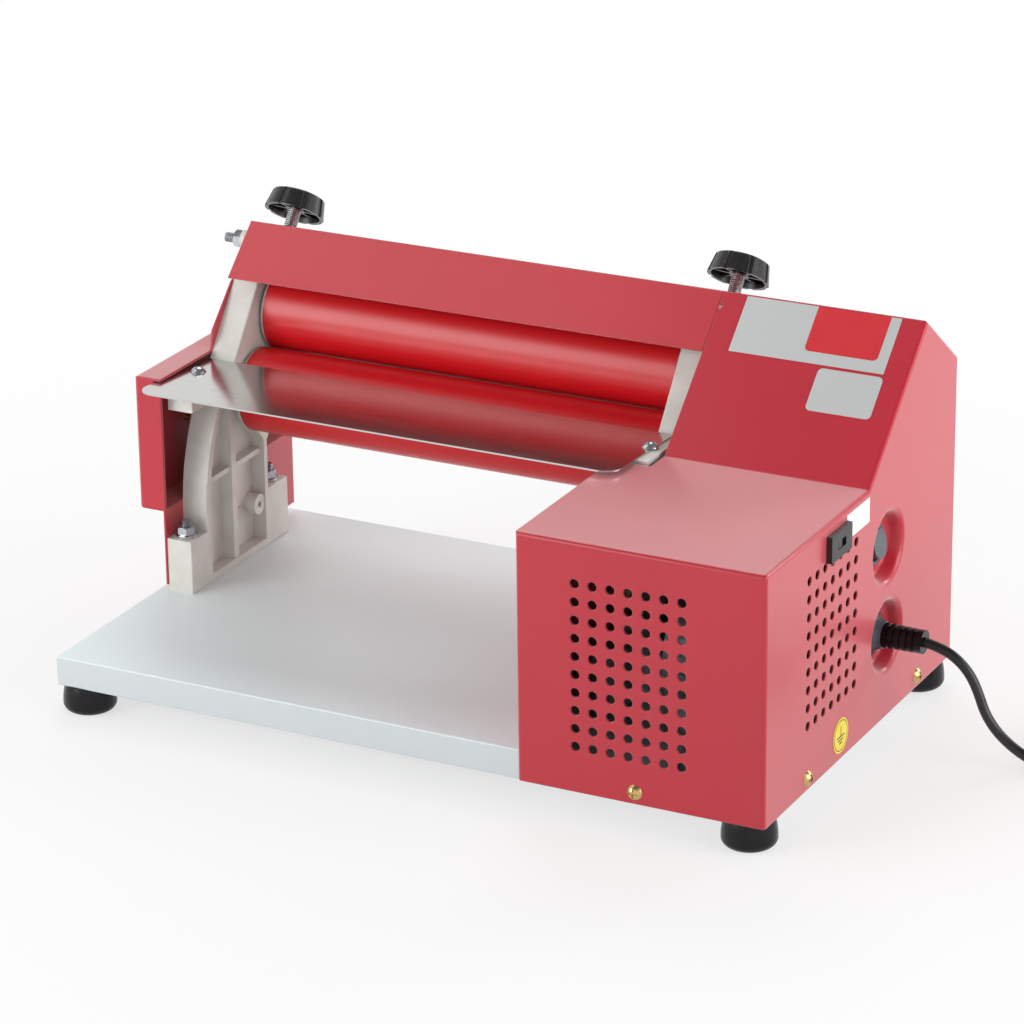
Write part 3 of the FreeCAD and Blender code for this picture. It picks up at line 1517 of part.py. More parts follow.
def coil_centre():
    """Middle of the coil on the floor, past the straight end where the cord comes in."""
    last = cord_route[-1]
    return (last[0] + coil_end_run, last[1] + coil_outer_radius, floor_z + cord_diameter / 2)


def coil_point(turns):
    """Point and heading after some turns: inwards on the floor, outwards on the layer above."""
    pitch = cord_diameter + coil_gap
    inner = coil_outer_radius - pitch * coil_inward_turns
    above = coil_inward_turns + coil_rise_turns
    radius = inner + pitch * (turns - above)
    widening = pitch
    height = pitch
    rise = 0
    if turns <= coil_inward_turns:
        radius = coil_outer_radius - pitch * turns
        widening = -pitch
        height = 0
    elif turns < above:
        share = (turns - coil_inward_turns) / coil_rise_turns
        height = pitch * (1 - math.cos(math.pi * share)) / 2
        rise = pitch * math.pi / coil_rise_turns * math.sin(math.pi * share) / 2
        # The reversal swings inwards by as much as keeps the spiral's slope at both ends.
        radius = inner - pitch * coil_rise_turns / math.pi * math.sin(math.pi * share)
        widening = -pitch * math.cos(math.pi * share)
    angle = 2 * math.pi * turns - math.pi / 2
    outwards = Vector(math.cos(angle), math.sin(angle), 0)
    around = Vector(-math.sin(angle), math.cos(angle), 0)
    heading = outwards * widening + around * 2 * math.pi * radius + Vector(0, 0, rise)
    centre = Vector(*coil_centre())
    return centre + outwards * radius + Vector(0, 0, height), heading.normalize()


def make_cord_coil():
    """Put-away length of the cord: one tube in two layers of turns, straight at both ends."""
    total = coil_inward_turns + coil_rise_turns + coil_outward_turns
    steps = round(total / coil_step_turns)
    places = [coil_point(step * coil_step_turns) for step in range(steps + 1)]
    along = Vector(1, 0, 0)
    places[0] = (places[0][0], along)
    places[-1] = (places[-1][0], along)
    start = places[0][0] - along * coil_end_run
    end = places[-1][0] + along * plug_end_run
    edges = [Part.LineSegment(start, places[0][0]).toShape()]
    for (point, heading), (following, next_heading) in zip(places, places[1:]):
        edges += biarc(point, heading, following, next_heading)
    edges.append(Part.LineSegment(places[-1][0], end).toShape())
    path = Part.Wire(edges)
    section = Part.Wire([Part.makeCircle(cord_diameter / 2, start, along)])
    coil = path.makePipeShell([section], True, False)
    expected = math.pi * cord_diameter ** 2 / 4 * path.Length
    print("coil length", round(path.Length, 1), "volume share", round(coil.Volume / expected, 4))
    print("coil least gap", round(least_gap(edges), 2))
    return coil, end


def least_gap(edges):
    """Least gap of a wound tube to itself, on points along its middle line."""
    points = []
    length = 0
    for edge in edges:
        count = max(2, round(edge.Length / cord_diameter * 2))
        for index in range(count):
            share = index / count
            place = edge.valueAt(edge.FirstParameter
                                 + share * (edge.LastParameter - edge.FirstParameter))
            points.append((length + share * edge.Length, place))
        length += edge.Length
    least = coil_outer_radius
    for index, (along, place) in enumerate(points):
        for other_along, other in points[index + 1:]:
            if other_along - along > 3 * cord_diameter:
                least = min(least, (other - place).Length - cord_diameter)
    return least


def make_plug(end):
    """Flat two-pin plug at the cord's end, lying on the floor."""
    neck = Part.makeCone(cord_diameter / 2 + plug_neck_wall, plug_neck_radius, plug_neck_length,
                         end, Vector(1, 0, 0))
    near = end.x + plug_neck_length
    far = near + plug_length
    half_width = plug_width / 2
    body = block((near, end.y - half_width, floor_z),
                 (far, end.y + half_width, floor_z + plug_height))
    body = body.makeFillet(plug_round, body.Edges)
    parts = [body, neck]
    middle = floor_z + plug_height / 2
    for side in (-1, 1):
        y = end.y + side * plug_pin_spacing / 2
        parts.append(rod_x(far - plug_round, far + plug_pin_length, y, middle, plug_pin_radius))
    return joined(parts)


def build_nodes():
    """Every node of the machine by its name."""
    nodes = {"base_board": make_board()}
    names = ["foot_front_left", "foot_back_left", "foot_front_right", "foot_back_right"]
    for name, (x, y) in zip(names, foot_places()):
        nodes[name] = make_foot(x, y)
    nodes["foot_screws"] = make_foot_screws()
    nodes["left_side_frame"] = make_side_frame()
    nodes["right_side_frame"] = mirrored_frame(nodes["left_side_frame"])
    nodes["frame_bolts"] = make_frame_bolts()
    nodes["frame_washers"], nodes["frame_nuts"] = make_frame_fasteners()
    nodes["lower_roller"] = make_roller(lower_roller_y, lower_roller_z)
    nodes["lower_roller_plugs"] = make_plugs(lower_roller_y, lower_roller_z, lower_shaft_radius)
    nodes["lower_shaft"] = make_lower_shaft()
    nodes["lower_shaft_collar"] = make_collar()
    nodes["lower_bushes"] = make_bushes(lower_roller_y, lower_roller_z, lower_shaft_radius, 0)
    nodes["lower_roller_gear"], nodes["upper_roller_gear"] = make_roller_gears()
    nodes["drive_gear"] = make_drive_gear()
    nodes["upper_roller"] = make_roller(upper_roller_y, upper_roller_z)
    nodes["upper_roller_plugs"] = make_plugs(upper_roller_y, upper_roller_z, upper_shaft_radius)
    nodes["upper_shaft"] = make_upper_shaft()
    nodes["upper_bushes"] = make_bushes(upper_roller_y, upper_roller_z, upper_shaft_radius,
                                        block_side_clearance)
    nodes["left_bearing_block"] = make_block(frame_left)
    nodes["right_bearing_block"] = make_block(right_frame_inner)
    nodes["left_spindle"] = make_spindle(left_bolt_x)
    nodes["right_spindle"] = make_spindle(right_bolt_x)
    nodes["spindle_nuts"] = make_spindle_nuts()
    nodes["left_knob"] = make_knob(left_bolt_x)
    nodes["right_knob"] = make_knob(right_bolt_x)
    nodes["feed_tray"] = make_tray()
    nodes["tray_screws"] = make_tray_screws()
    nodes["left_cover"] = make_left_cover()
    nodes["cross_cover"] = make_cross_cover()
    nodes["tie_rod"] = make_tie_rod()
    nodes["tie_rod_nuts"] = make_tie_rod_nuts()
    nodes["motor_housing"] = make_housing()
    nodes["cover_screws"] = make_cover_screws()
    nodes["rocker_bezel"] = make_rocker_bezel()
    nodes["rocker_button"] = make_rocker_button()
    nodes["selector_plate"], nodes["selector_slider"] = make_selector()
    nodes["silver_labels"] = make_silver_labels()
    nodes["selector_label"] = make_selector_label()
    nodes["earth_label"] = make_earth_label()
    nodes["motor_body"] = make_motor()
    nodes["motor_cradle"] = make_cradle()
    nodes["motor_shaft"] = make_rotor()
    nodes["motor_fan"] = make_fan()
    nodes["motor_pulley"] = pulley(motor_y, motor_z, motor_pulley_radius, motor_shaft_radius)
    nodes["drive_belt"] = make_belt()
    nodes["countershaft"] = make_countershaft()
    nodes["counter_pulley"] = make_counter_pulley()
    nodes["counter_stand"] = make_counter_stand()
    nodes["start_capacitor"] = make_capacitor()
    nodes["cord_gland"] = make_gland()
    nodes["strain_relief"] = make_strain_relief()
    nodes["cord_tube"] = make_cord_tube()
    nodes["cord_coil"], coil_end = make_cord_coil()
    nodes["mains_plug"] = make_plug(coil_end)
    return nodes


cord_names = ("cord_tube", "cord_coil", "mains_plug")


def main():
    """Build the nodes, move the origin under the machine's middle and write the files."""
    nodes = build_nodes()
    box = FreeCAD.BoundBox()
    for name, shape in nodes.items():
        if name not in cord_names:
            box.add(shape.BoundBox)
    shift = Vector(-box.Center.x, -box.Center.y, -floor_z)
    print("shift", [round(value, 3) for value in shift])
    for name, shape in nodes.items():
        shape.translate(shift)
        shape.exportStep("parts/" + name + ".step")
        print(name, len(shape.Solids), round(shape.Volume), shape.isValid())


main()
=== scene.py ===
"""Table-top electric dough roller: finishes, cord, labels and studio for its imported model."""
from __future__ import annotations

import logging
import math
from dataclasses import dataclass, field
from enum import Enum

import bmesh
import bpy
from mathutils import Matrix, Vector

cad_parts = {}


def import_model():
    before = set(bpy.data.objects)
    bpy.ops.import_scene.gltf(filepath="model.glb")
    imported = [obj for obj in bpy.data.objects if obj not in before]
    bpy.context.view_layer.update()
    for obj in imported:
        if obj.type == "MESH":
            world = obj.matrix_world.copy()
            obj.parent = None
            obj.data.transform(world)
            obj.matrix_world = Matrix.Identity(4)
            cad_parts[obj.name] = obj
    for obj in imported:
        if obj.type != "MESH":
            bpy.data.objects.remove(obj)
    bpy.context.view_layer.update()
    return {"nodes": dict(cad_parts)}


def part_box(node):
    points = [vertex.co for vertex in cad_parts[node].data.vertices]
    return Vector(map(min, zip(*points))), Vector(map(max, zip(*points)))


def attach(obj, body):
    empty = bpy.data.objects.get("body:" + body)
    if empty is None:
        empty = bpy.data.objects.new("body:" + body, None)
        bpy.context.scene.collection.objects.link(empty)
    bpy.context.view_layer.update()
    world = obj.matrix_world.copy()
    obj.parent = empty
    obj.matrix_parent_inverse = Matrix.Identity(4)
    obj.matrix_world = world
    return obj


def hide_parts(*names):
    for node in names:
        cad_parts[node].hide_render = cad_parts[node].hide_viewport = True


log = logging.getLogger("dough_roller")
Colour = tuple[float, float, float]
Point = tuple[float, float, float]
Socket = bpy.types.NodeSocket
Nodes = dict[str, bpy.types.Object]

# Lengths are in metres and angles in radians, unless a docstring gives another unit.
MM = 0.001
WHITE = (1.0, 1.0, 1.0, 1.0)
SPINDLE_LEAN = math.radians(37.0)
EDGE_ANGLE = math.radians(32.0)
SAME_POINT = 0.000002


def srgb(red: int, green: int, blue: int) -> Colour:
    """Linear colour of an 8-bit screen colour, by the curve of the sRGB standard."""
    shares = [value / 255 for value in (red, green, blue)]
    return tuple(s / 12.92 if s <= 0.04045 else ((s + 0.055) / 1.055) ** 2.4 for s in shares)


def shaded(colour: Colour, share: float) -> Colour:
    """Share of a colour, darker below 1 and lighter above it, up to full brightness."""
    return tuple(min(1.0, value * share) for value in colour)


def board_point(x: float, y: float, z: float) -> Vector:
    """Point counted in millimetres from the board's front left top corner.

    Args:
        x: millimetres to the right.
        y: millimetres to the back.
        z: millimetres up.

    Returns:
        The same point in metres in the model's frame.
    """
    low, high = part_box("base_board")
    return Vector((low[0] + x * MM, low[1] + y * MM, high[2] + z * MM))


class Axis(Enum):
    """Directions along which a thread or a material's border runs."""

    ALONG_ROLLERS = (1.0, 0.0, 0.0)
    UPRIGHT = (0.0, 0.0, 1.0)
    LEANING = (0.0, math.sin(SPINDLE_LEAN), math.cos(SPINDLE_LEAN))


class NodeGraph:
    """Node tree with short ways to add its nodes and to link them."""

    def __init__(self, tree: bpy.types.NodeTree) -> None:
        """Start on a tree, without the nodes that it had."""
        self.tree = tree
        self.tree.nodes.clear()

    def feed(self, socket: Socket, value: object) -> None:
        """Give a socket its value, or link it to the socket that feeds it.

        Args:
            socket: the input socket.
            value: a plain value or an output socket.
        """
        if isinstance(value, bpy.types.NodeSocket):
            self.tree.links.new(value, socket)
        else:
            socket.default_value = value

    def node(self, kind: str, inputs: dict[str | int, object] | None = None,
             **settings: object) -> bpy.types.Node:
        """Add a node.

        Args:
            kind: Blender's name of the node type.
            inputs: input name or number to a value or to a socket that feeds it.
            settings: the node's own settings.

        Returns:
            The new node.
        """
        node = self.tree.nodes.new(kind)
        for key, value in settings.items():
            setattr(node, key, value)
        for key, value in (inputs or {}).items():
            self.feed(node.inputs[key], value)
        return node

    def math(self, operation: str, first: object, second: object = 0.0) -> Socket:
        """Result of a calculation on one or two values."""
        return self.node("ShaderNodeMath", {0: first, 1: second}, operation=operation).outputs[0]

    def spread(self, factor: Socket, low: float, high: float, start: float = 0.0,
               end: float = 1.0) -> Socket:
        """Value between two bounds as a factor runs from start to end, kept within them."""
        inputs = {"Value": factor, "From Min": start, "From Max": end, "To Min": low, "To Max": high}
        return self.node("ShaderNodeMapRange", inputs).outputs["Result"]


class SurfaceGraph(NodeGraph):
    """One material's node graph around a Principled shader, read in object coordinates."""

    def __init__(self, name: str) -> None:
        """Start a new material of that name with its shader and output."""
        self.material = bpy.data.materials.new(name)
        self.material.use_nodes = True
        super().__init__(self.material.node_tree)
        self.shader = self.node("ShaderNodeBsdfPrincipled")
        self.output = self.node("ShaderNodeOutputMaterial", {"Surface": self.shader.outputs["BSDF"]})
        self.place = self.node("ShaderNodeTexCoord").outputs["Object"]

    def surface(self, **values: object) -> None:
        """Set the shader's sockets.

        Args:
            values: socket name, with underscores for spaces, to a value or a socket that feeds it.
        """
        for key, value in values.items():
            self.feed(self.shader.inputs[key.replace("_", " ")], value)

    def stretched(self, scale: Point) -> Socket:
        """Object coordinates multiplied along each axis."""
        mapping = self.node("ShaderNodeMapping", {"Vector": self.place, "Scale": scale})
        return mapping.outputs["Vector"]

    def noise(self, scale: float, detail: float = 2.0, place: Socket | None = None) -> Socket:
        """Noise from 0 to 1 with a number of blotches to the metre."""
        inputs = {"Vector": place or self.place, "Scale": scale, "Detail": detail}
        return self.node("ShaderNodeTexNoise", inputs).outputs["Fac"]

    def blend(self, factor: Socket, first: Colour | Socket, second: Colour | Socket) -> Socket:
        """Mix two colours.

        Args:
            factor: share of the second colour, from 0 to 1.
            first: a colour or the socket that gives one.
            second: the same for the second colour.

        Returns:
            The mixed colour's socket.
        """
        first, second = ((*colour, 1.0) if isinstance(colour, tuple) else colour
                         for colour in (first, second))
        mixed = self.node("ShaderNodeMix", {0: factor, 6: first, 7: second}, data_type="RGBA")
        return mixed.outputs[2]

    def bump(self, height: Socket, distance: float, strength: float,
             under: Socket | None = None) -> Socket:
        """Relief of the surface.

        Args:
            height: pattern from 0 to 1.
            distance: height in metres that 1 stands for.
            strength: share of the relief that shows.
            under: normal that the relief is laid on, the mesh's own if none is given.

        Returns:
            The normal's socket.
        """
        inputs = {"Height": height, "Distance": distance, "Strength": strength}
        if under:
            inputs["Normal"] = under
        return self.node("ShaderNodeBump", inputs).outputs["Normal"]

    def facing_up(self) -> Socket:
        """Height share of the surface's normal."""
        normal = self.node("ShaderNodeNewGeometry").outputs["Normal"]
        return self.node("ShaderNodeSeparateXYZ", {"Vector": normal}).outputs["Z"]

    def along(self, axis: Axis) -> Socket:
        """Distance in metres along an axis."""
        inputs = {0: self.place, 1: axis.value}
        return self.node("ShaderNodeVectorMath", inputs, operation="DOT_PRODUCT").outputs["Value"]


@dataclass(frozen=True)
class PowderCoat:
    """Glossy powder coat on sheet steel, with a faint orange peel, specks and slow colour drift.

    Scales are blotches to the metre, and depths and radii are in metres.
    """

    name: str
    colour: Colour
    roughness: float = 0.34
    drift_scale: float = 6.0
    drift_shade: float = 0.88
    speck_scale: float = 2600.0
    speck_shade: float = 0.6
    speck_strength: float = 0.10
    peel_scale: float = 420.0
    peel_depth: float = 0.00004
    fold_radius: float = 0.0014

    def make(self) -> bpy.types.Material:
        """Build this finish.

        Returns:
            Its new material.
        """
        graph = SurfaceGraph(self.name)
        drift = graph.spread(graph.noise(self.drift_scale, detail=3.0), 0.0, 1.0, start=0.3, end=0.7)
        tone = graph.blend(drift, self.colour, shaded(self.colour, self.drift_shade))
        specks = graph.spread(graph.noise(self.speck_scale, detail=1.0), 0.0, self.speck_strength,
                              start=0.72, end=0.80)
        tone = graph.blend(specks, tone, shaded(self.colour, self.speck_shade))
        gloss = graph.spread(graph.noise(scale=9.0, detail=4.0), self.roughness * 0.85,
                             self.roughness * 1.2)
        folded = graph.node("ShaderNodeBevel", {"Radius": self.fold_radius}, samples=6)
        relief = graph.bump(graph.noise(self.peel_scale), self.peel_depth, strength=0.55,
                            under=folded.outputs["Normal"])
        graph.surface(Base_Color=tone, Roughness=gloss, Normal=relief, Coat_Weight=0.2,
                      Coat_Roughness=0.14, Sheen_Weight=0.5, Sheen_Roughness=0.45)
        return graph.material


@dataclass(frozen=True)
class RollerCoat:
    """Satin coat of a roller, with fine turning lines around it, counted to the metre."""

    name: str
    colour: Colour
    lines: Point = (1800.0, 12.0, 12.0)
    line_depth: float = 0.00002
    worn_shade: float = 1.15

    def make(self) -> bpy.types.Material:
        """Build this finish.

        Returns:
            Its new material.
        """
        graph = SurfaceGraph(self.name)
        lines = graph.noise(scale=1.0, detail=3.0, place=graph.stretched(self.lines))
        tone = graph.blend(graph.spread(lines, 0.0, 0.5), self.colour,
                           shaded(self.colour, self.worn_shade))
        gloss = graph.spread(graph.noise(scale=30.0, detail=3.0), low=0.30, high=0.40)
        graph.surface(Base_Color=tone, Roughness=gloss, Coat_Weight=0.15, Coat_Roughness=0.2,
                      Normal=graph.bump(lines, self.line_depth, strength=0.6))
        return graph.material


@dataclass(frozen=True)
class Laminate:
    """White laminated board whose sides are painted greyer than its top, as painted shade, with a fine
    pebbled top.
    """

    name: str
    top: Colour
    edge: Colour
    drift_shade: float = 0.94
    pebble_scale: float = 1400.0
    pebble_depth: float = 0.00003

    def make(self) -> bpy.types.Material:
        """Build this finish.

        Returns:
            Its new material.
        """
        graph = SurfaceGraph(self.name)
        # Faces that do not point up take the edge colour: painted shade on the board's sides.
        flat = graph.spread(graph.facing_up(), 0.0, 1.0, start=0.55, end=0.75)
        drift = graph.blend(graph.noise(scale=14.0, detail=3.0), self.top,
                            shaded(self.top, self.drift_shade))
        pebble = graph.bump(graph.noise(self.pebble_scale), self.pebble_depth, strength=0.5)
        gloss = graph.spread(graph.noise(scale=160.0), low=0.34, high=0.44)
        graph.surface(Base_Color=graph.blend(flat, self.edge, drift), Roughness=gloss,
                      Normal=pebble, Specular_IOR_Level=0.4)
        return graph.material


@dataclass(frozen=True)
class Moulded:
    """Moulded plastic or rubber with cloudy tone and a soft grain, whose depth is in metres."""

    name: str
    colour: Colour
    cloud: Colour
    roughness: float = 0.45
    grain: float = 0.00006
    cloud_scale: float = 70.0
    specular: float = 0.5
    grain_scale: float = 700.0

    def make(self) -> bpy.types.Material:
        """Build this finish.

        Returns:
            Its new material.
        """
        graph = SurfaceGraph(self.name)
        clouds = graph.spread(graph.noise(self.cloud_scale, detail=5.0), 0.0, 1.0, start=0.35, end=0.7)
        gloss = graph.spread(graph.noise(scale=200.0), self.roughness * 0.85, self.roughness * 1.15)
        grain = graph.bump(graph.noise(self.grain_scale, detail=3.0), self.grain, strength=0.6)
        graph.surface(Base_Color=graph.blend(clouds, self.colour, self.cloud), Roughness=gloss,
                      Normal=grain, Specular_IOR_Level=self.specular)
        return graph.material


@dataclass(frozen=True)
class Metal:
    """Bare or plated metal, with fine lines to the metre along each axis."""

    name: str
    colour: Colour
    roughness: float = 0.28
    lines: Point = (40.0, 1500.0, 1500.0)
    depth: float = 0.00001
    streak_shade: float = 0.82

    def make(self) -> bpy.types.Material:
        """Build this finish.

        Returns:
            Its new material.
        """
        graph = SurfaceGraph(self.name)
        streaks = graph.noise(scale=1.0, detail=4.0, place=graph.stretched(self.lines))
        tone = graph.blend(graph.spread(streaks, 0.0, 0.6, start=0.3, end=0.7), self.colour,
                           shaded(self.colour, self.streak_shade))
        gloss = graph.spread(streaks, self.roughness * 0.8, self.roughness * 1.25, start=0.3, end=0.7)
        graph.surface(Base_Color=tone, Metallic=1.0, Roughness=gloss,
                      Normal=graph.bump(streaks, self.depth, strength=0.5))
        return graph.material


@dataclass(frozen=True)
class Threaded:
    """Zinc-plated thread: rings of a pitch in metres along an axis, with painted shade in the grooves.
    """

    name: str
    colour: Colour
    axis: Axis
    pitch: float
    painted_groove_shade: float = 0.45
    depth_share: float = 0.3

    def make(self) -> bpy.types.Material:
        """Build this finish.

        Returns:
            Its new material.
        """
        graph = SurfaceGraph(self.name)
        turns = graph.math("MULTIPLY", graph.along(self.axis), 2 * math.pi / self.pitch)
        ridge = graph.math("SINE", turns)
        # The grooves take a darker copy of the colour: painted shade in the thread's hollows.
        tone = graph.blend(graph.spread(ridge, 0.0, 1.0, start=-0.9, end=0.1),
                           shaded(self.colour, self.painted_groove_shade), self.colour)
        graph.surface(Base_Color=tone, Metallic=1.0, Roughness=0.3,
                      Normal=graph.bump(ridge, self.pitch * self.depth_share, strength=0.8))
        return graph.material


@dataclass(frozen=True)
class Foil:
    """Silver foil label with a faint brushed look, whose lines are counted to the metre."""

    name: str
    colour: Colour
    lines: Point = (60.0, 1600.0, 1600.0)
    line_depth: float = 0.00001
    line_shade: float = 0.9

    def make(self) -> bpy.types.Material:
        """Build this finish.

        Returns:
            Its new material.
        """
        graph = SurfaceGraph(self.name)
        lines = graph.noise(scale=1.0, detail=3.0, place=graph.stretched(self.lines))
        tone = graph.blend(graph.spread(lines, 0.0, 0.4), self.colour,
                           shaded(self.colour, self.line_shade))
        graph.surface(Base_Color=tone, Metallic=0.35, Roughness=0.38, Coat_Weight=0.2,
                      Coat_Roughness=0.15, Normal=graph.bump(lines, self.line_depth, strength=0.4))
        return graph.material


@dataclass(frozen=True)
class PinnedPlug:
    """Black moulded plug whose pins, over a length in metres at its far end, are bare metal."""

    name: str
    body: Colour
    pins: Colour
    pin_length: float = 0.019
    grain_scale: float = 300.0
    grain: float = 0.00002

    def make(self) -> bpy.types.Material:
        """Build this finish.

        Returns:
            Its new material.
        """
        graph = SurfaceGraph(self.name)
        pins_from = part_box("mains_plug")[1][0] - self.pin_length
        past = graph.math("GREATER_THAN", graph.along(Axis.ALONG_ROLLERS), pins_from)
        grain = graph.bump(graph.noise(self.grain_scale, detail=3.0), self.grain, strength=0.6)
        graph.surface(Base_Color=graph.blend(past, self.body, self.pins), Metallic=past,
                      Roughness=0.32, Normal=grain)
        return graph.material


Finish = PowderCoat | RollerCoat | Laminate | Moulded | Metal | Threaded | Foil | PinnedPlug
FINISHES: dict[str, Finish] = {
    "red": PowderCoat("red_powder_coat", srgb(184, 14, 40)),
    # The cross cover gets a paler copy of the red paint: painted light, for the stronger light that
    # falls on it.
    "lit_cover_red": PowderCoat("red_powder_coat_painted_lit", srgb(188, 38, 50)),
    "roller": RollerCoat("satin_red_roller", srgb(196, 20, 28)),
    # The board's greyer edge colour is painted shade on its sides.
    "board": Laminate("white_laminate", srgb(230, 242, 243), srgb(198, 204, 206)),
    "frame": Moulded("offwhite_moulding", srgb(214, 213, 207), srgb(203, 201, 194)),
    "plug": Moulded("pale_end_plug", srgb(205, 203, 196), srgb(188, 185, 178), roughness=0.5),
    "block": Moulded("grey_bearing_block", srgb(140, 138, 134), srgb(126, 124, 120), roughness=0.5),
    "rubber": Moulded("black_rubber", srgb(10, 10, 12), srgb(18, 18, 20), roughness=0.22, grain=0.00003,
                      cloud_scale=200.0, specular=0.28),
    "knob": Moulded("black_knob", srgb(30, 30, 32), srgb(38, 38, 40), roughness=0.24, grain=0.00002,
                    cloud_scale=300.0),
    "switch": Moulded("black_switch", srgb(24, 24, 26), srgb(32, 32, 34), roughness=0.36, grain=0.00002,
                      cloud_scale=300.0),
    "fan": Moulded("black_fan", srgb(22, 22, 23), srgb(30, 30, 31), roughness=0.5),
    "capacitor": Moulded("grey_capacitor", srgb(120, 121, 124), srgb(108, 109, 112), roughness=0.4),
    "belt": Moulded("belt_rubber", srgb(20, 20, 20), srgb(32, 32, 31), roughness=0.7, grain=0.0001,
                    cloud_scale=500.0),
    "sticker": Moulded("blank_sticker", srgb(228, 228, 230), srgb(222, 222, 225), roughness=0.35,
                       grain=0.00001),
    "yellow": Moulded("yellow_sticker", srgb(226, 206, 60), srgb(216, 196, 54), roughness=0.4,
                      grain=0.00001),
    "gland": Moulded("grey_gland", srgb(72, 80, 90), srgb(62, 70, 80), roughness=0.32, grain=0.00002,
                     cloud_scale=300.0),
    "rocker": Moulded("grey_rocker", srgb(80, 88, 94), srgb(72, 80, 86), roughness=0.35, grain=0.00002,
                      cloud_scale=300.0),
    "zinc": Metal("bright_zinc", srgb(196, 200, 206), roughness=0.25, lines=(300.0, 300.0, 300.0)),
    "brassy": Metal("yellow_zinc", srgb(205, 178, 120), roughness=0.25, lines=(300.0, 300.0, 300.0)),
    "tray": Metal("polished_stainless", srgb(205, 204, 203), roughness=0.15,
                  lines=(25.0, 1400.0, 1400.0)),
    "steel": Metal("ground_steel", srgb(190, 191, 193), roughness=0.22, lines=(1500.0, 30.0, 30.0)),
    "gear": Metal("cut_gear_steel", srgb(150, 151, 154), roughness=0.35, lines=(40.0, 600.0, 600.0)),
    "bronze": Metal("sintered_bronze", srgb(188, 150, 96), roughness=0.4, lines=(500.0, 500.0, 500.0)),
    "cast": Metal("cast_aluminium", srgb(150, 152, 156), roughness=0.5, lines=(350.0, 350.0, 350.0),
                  depth=0.00005),
    "sheet": Metal("galvanised_sheet", srgb(172, 175, 180), roughness=0.38,
                   lines=(120.0, 120.0, 120.0)),
    "upright_thread": Threaded("upright_thread", srgb(180, 186, 196), axis=Axis.UPRIGHT, pitch=0.001),
    "cross_thread": Threaded("cross_thread", srgb(180, 186, 196), axis=Axis.ALONG_ROLLERS, pitch=0.001),
    "leaning_thread": Threaded("leaning_thread", srgb(214, 220, 222), axis=Axis.LEANING, pitch=0.00125,
                               painted_groove_shade=0.85),
    "foil": Foil("silver_foil", srgb(206, 209, 208)),
    "panel": Moulded("red_label_panel", srgb(206, 44, 52), srgb(200, 40, 48), roughness=0.4,
                     grain=0.00001),
    "ink": Moulded("black_ink", srgb(30, 28, 20), srgb(36, 34, 26), roughness=0.5, grain=0.00001),
    "plug_and_pins": PinnedPlug("plug_and_pins", srgb(16, 16, 18), srgb(196, 190, 176)),
    "cord": Moulded("cord_jacket", srgb(14, 14, 15), srgb(22, 22, 23), roughness=0.38, grain=0.00002,
                    cloud_scale=400.0),
}


class Finisher:
    """Keeps one material for each finish and dresses pieces with it."""

    def __init__(self) -> None:
        """Start with no material made."""
        self.made: dict[str, bpy.types.Material] = {}

    def material(self, finish: str) -> bpy.types.Material:
        """Material of a finish, made on first use.

        Args:
            finish: a name in FINISHES.

        Returns:
            The one material of that finish.
        """
        if finish not in self.made:
            self.made[finish] = FINISHES[finish].make()
        return self.made[finish]

    def dress(self, piece: bpy.types.Object, finish: str) -> None:
        """Give a whole piece one finish.

        Args:
            piece: the piece, whose every material slot gets it.
            finish: a name in FINISHES.
        """
        slots = piece.data.materials
        if len(slots) == 0:
            slots.append(None)
        for index in range(len(slots)):
            slots[index] = self.material(finish)

    def dress_nodes(self, nodes: Nodes, plan: dict[str, str]) -> None:
        """Give CAD nodes their finishes and shade them smoothly up to their edges.

        Args:
            nodes: CAD nodes by name.
            plan: node name to a name in FINISHES.
        """
        for name, finish in plan.items():
            self.dress(nodes[name], finish)
            soften(nodes[name])
            log.info("%s: %s", name, finish)


def edge_group() -> bpy.types.NodeTree:
    """Node group that merges a mesh's points and smooths it except at its edges.

    Returns:
        The one group of that kind, made on the first call.
    """
    group = bpy.data.node_groups.get("smooth_to_edges")
    if group:
        return group
    group = bpy.data.node_groups.new("smooth_to_edges", "GeometryNodeTree")
    for way in ("INPUT", "OUTPUT"):
        group.interface.new_socket("Geometry", in_out=way, socket_type="NodeSocketGeometry")
    graph = NodeGraph(group)
    start = graph.node("NodeGroupInput")
    merged = graph.node("GeometryNodeMergeByDistance",
                        {"Geometry": start.outputs[0], "Distance": SAME_POINT})
    smooth = graph.node("GeometryNodeSetShadeSmooth", {"Geometry": merged.outputs["Geometry"]})
    angle = graph.node("GeometryNodeInputMeshEdgeAngle").outputs["Unsigned Angle"]
    sharp = graph.node("FunctionNodeCompare", {0: angle, 1: EDGE_ANGLE}, operation="GREATER_THAN")
    edged = graph.node("GeometryNodeSetShadeSmooth", domain="EDGE",
                       inputs={"Geometry": smooth.outputs["Geometry"], "Shade Smooth": False,
                               "Selection": sharp.outputs[0]})
    graph.node("NodeGroupOutput", {0: edged.outputs["Geometry"]})
    return group


def soften(piece: bpy.types.Object) -> None:
    """Shade a CAD node smoothly between its edges.

    Args:
        piece: the CAD node.
    """
    smooth = piece.modifiers.new("smooth_to_edges", "NODES")
    smooth.node_group = edge_group()
    weighted = piece.modifiers.new("weighted_normals", "WEIGHTED_NORMAL")
    weighted.keep_sharp = True
    weighted.mode = "FACE_AREA"


def add_box(shape: bmesh.types.BMesh, middle: Vector, size: Vector) -> None:
    """Add a box with its sides along the axes.

    Args:
        shape: the bmesh that takes the box.
        middle: the box's middle in metres.
        size: the box's three sides in metres.
    """
    verts = bmesh.ops.create_cube(shape, size=1.0)["verts"]
    bmesh.ops.scale(shape, vec=size, verts=verts)
    bmesh.ops.translate(shape, vec=middle, verts=verts)


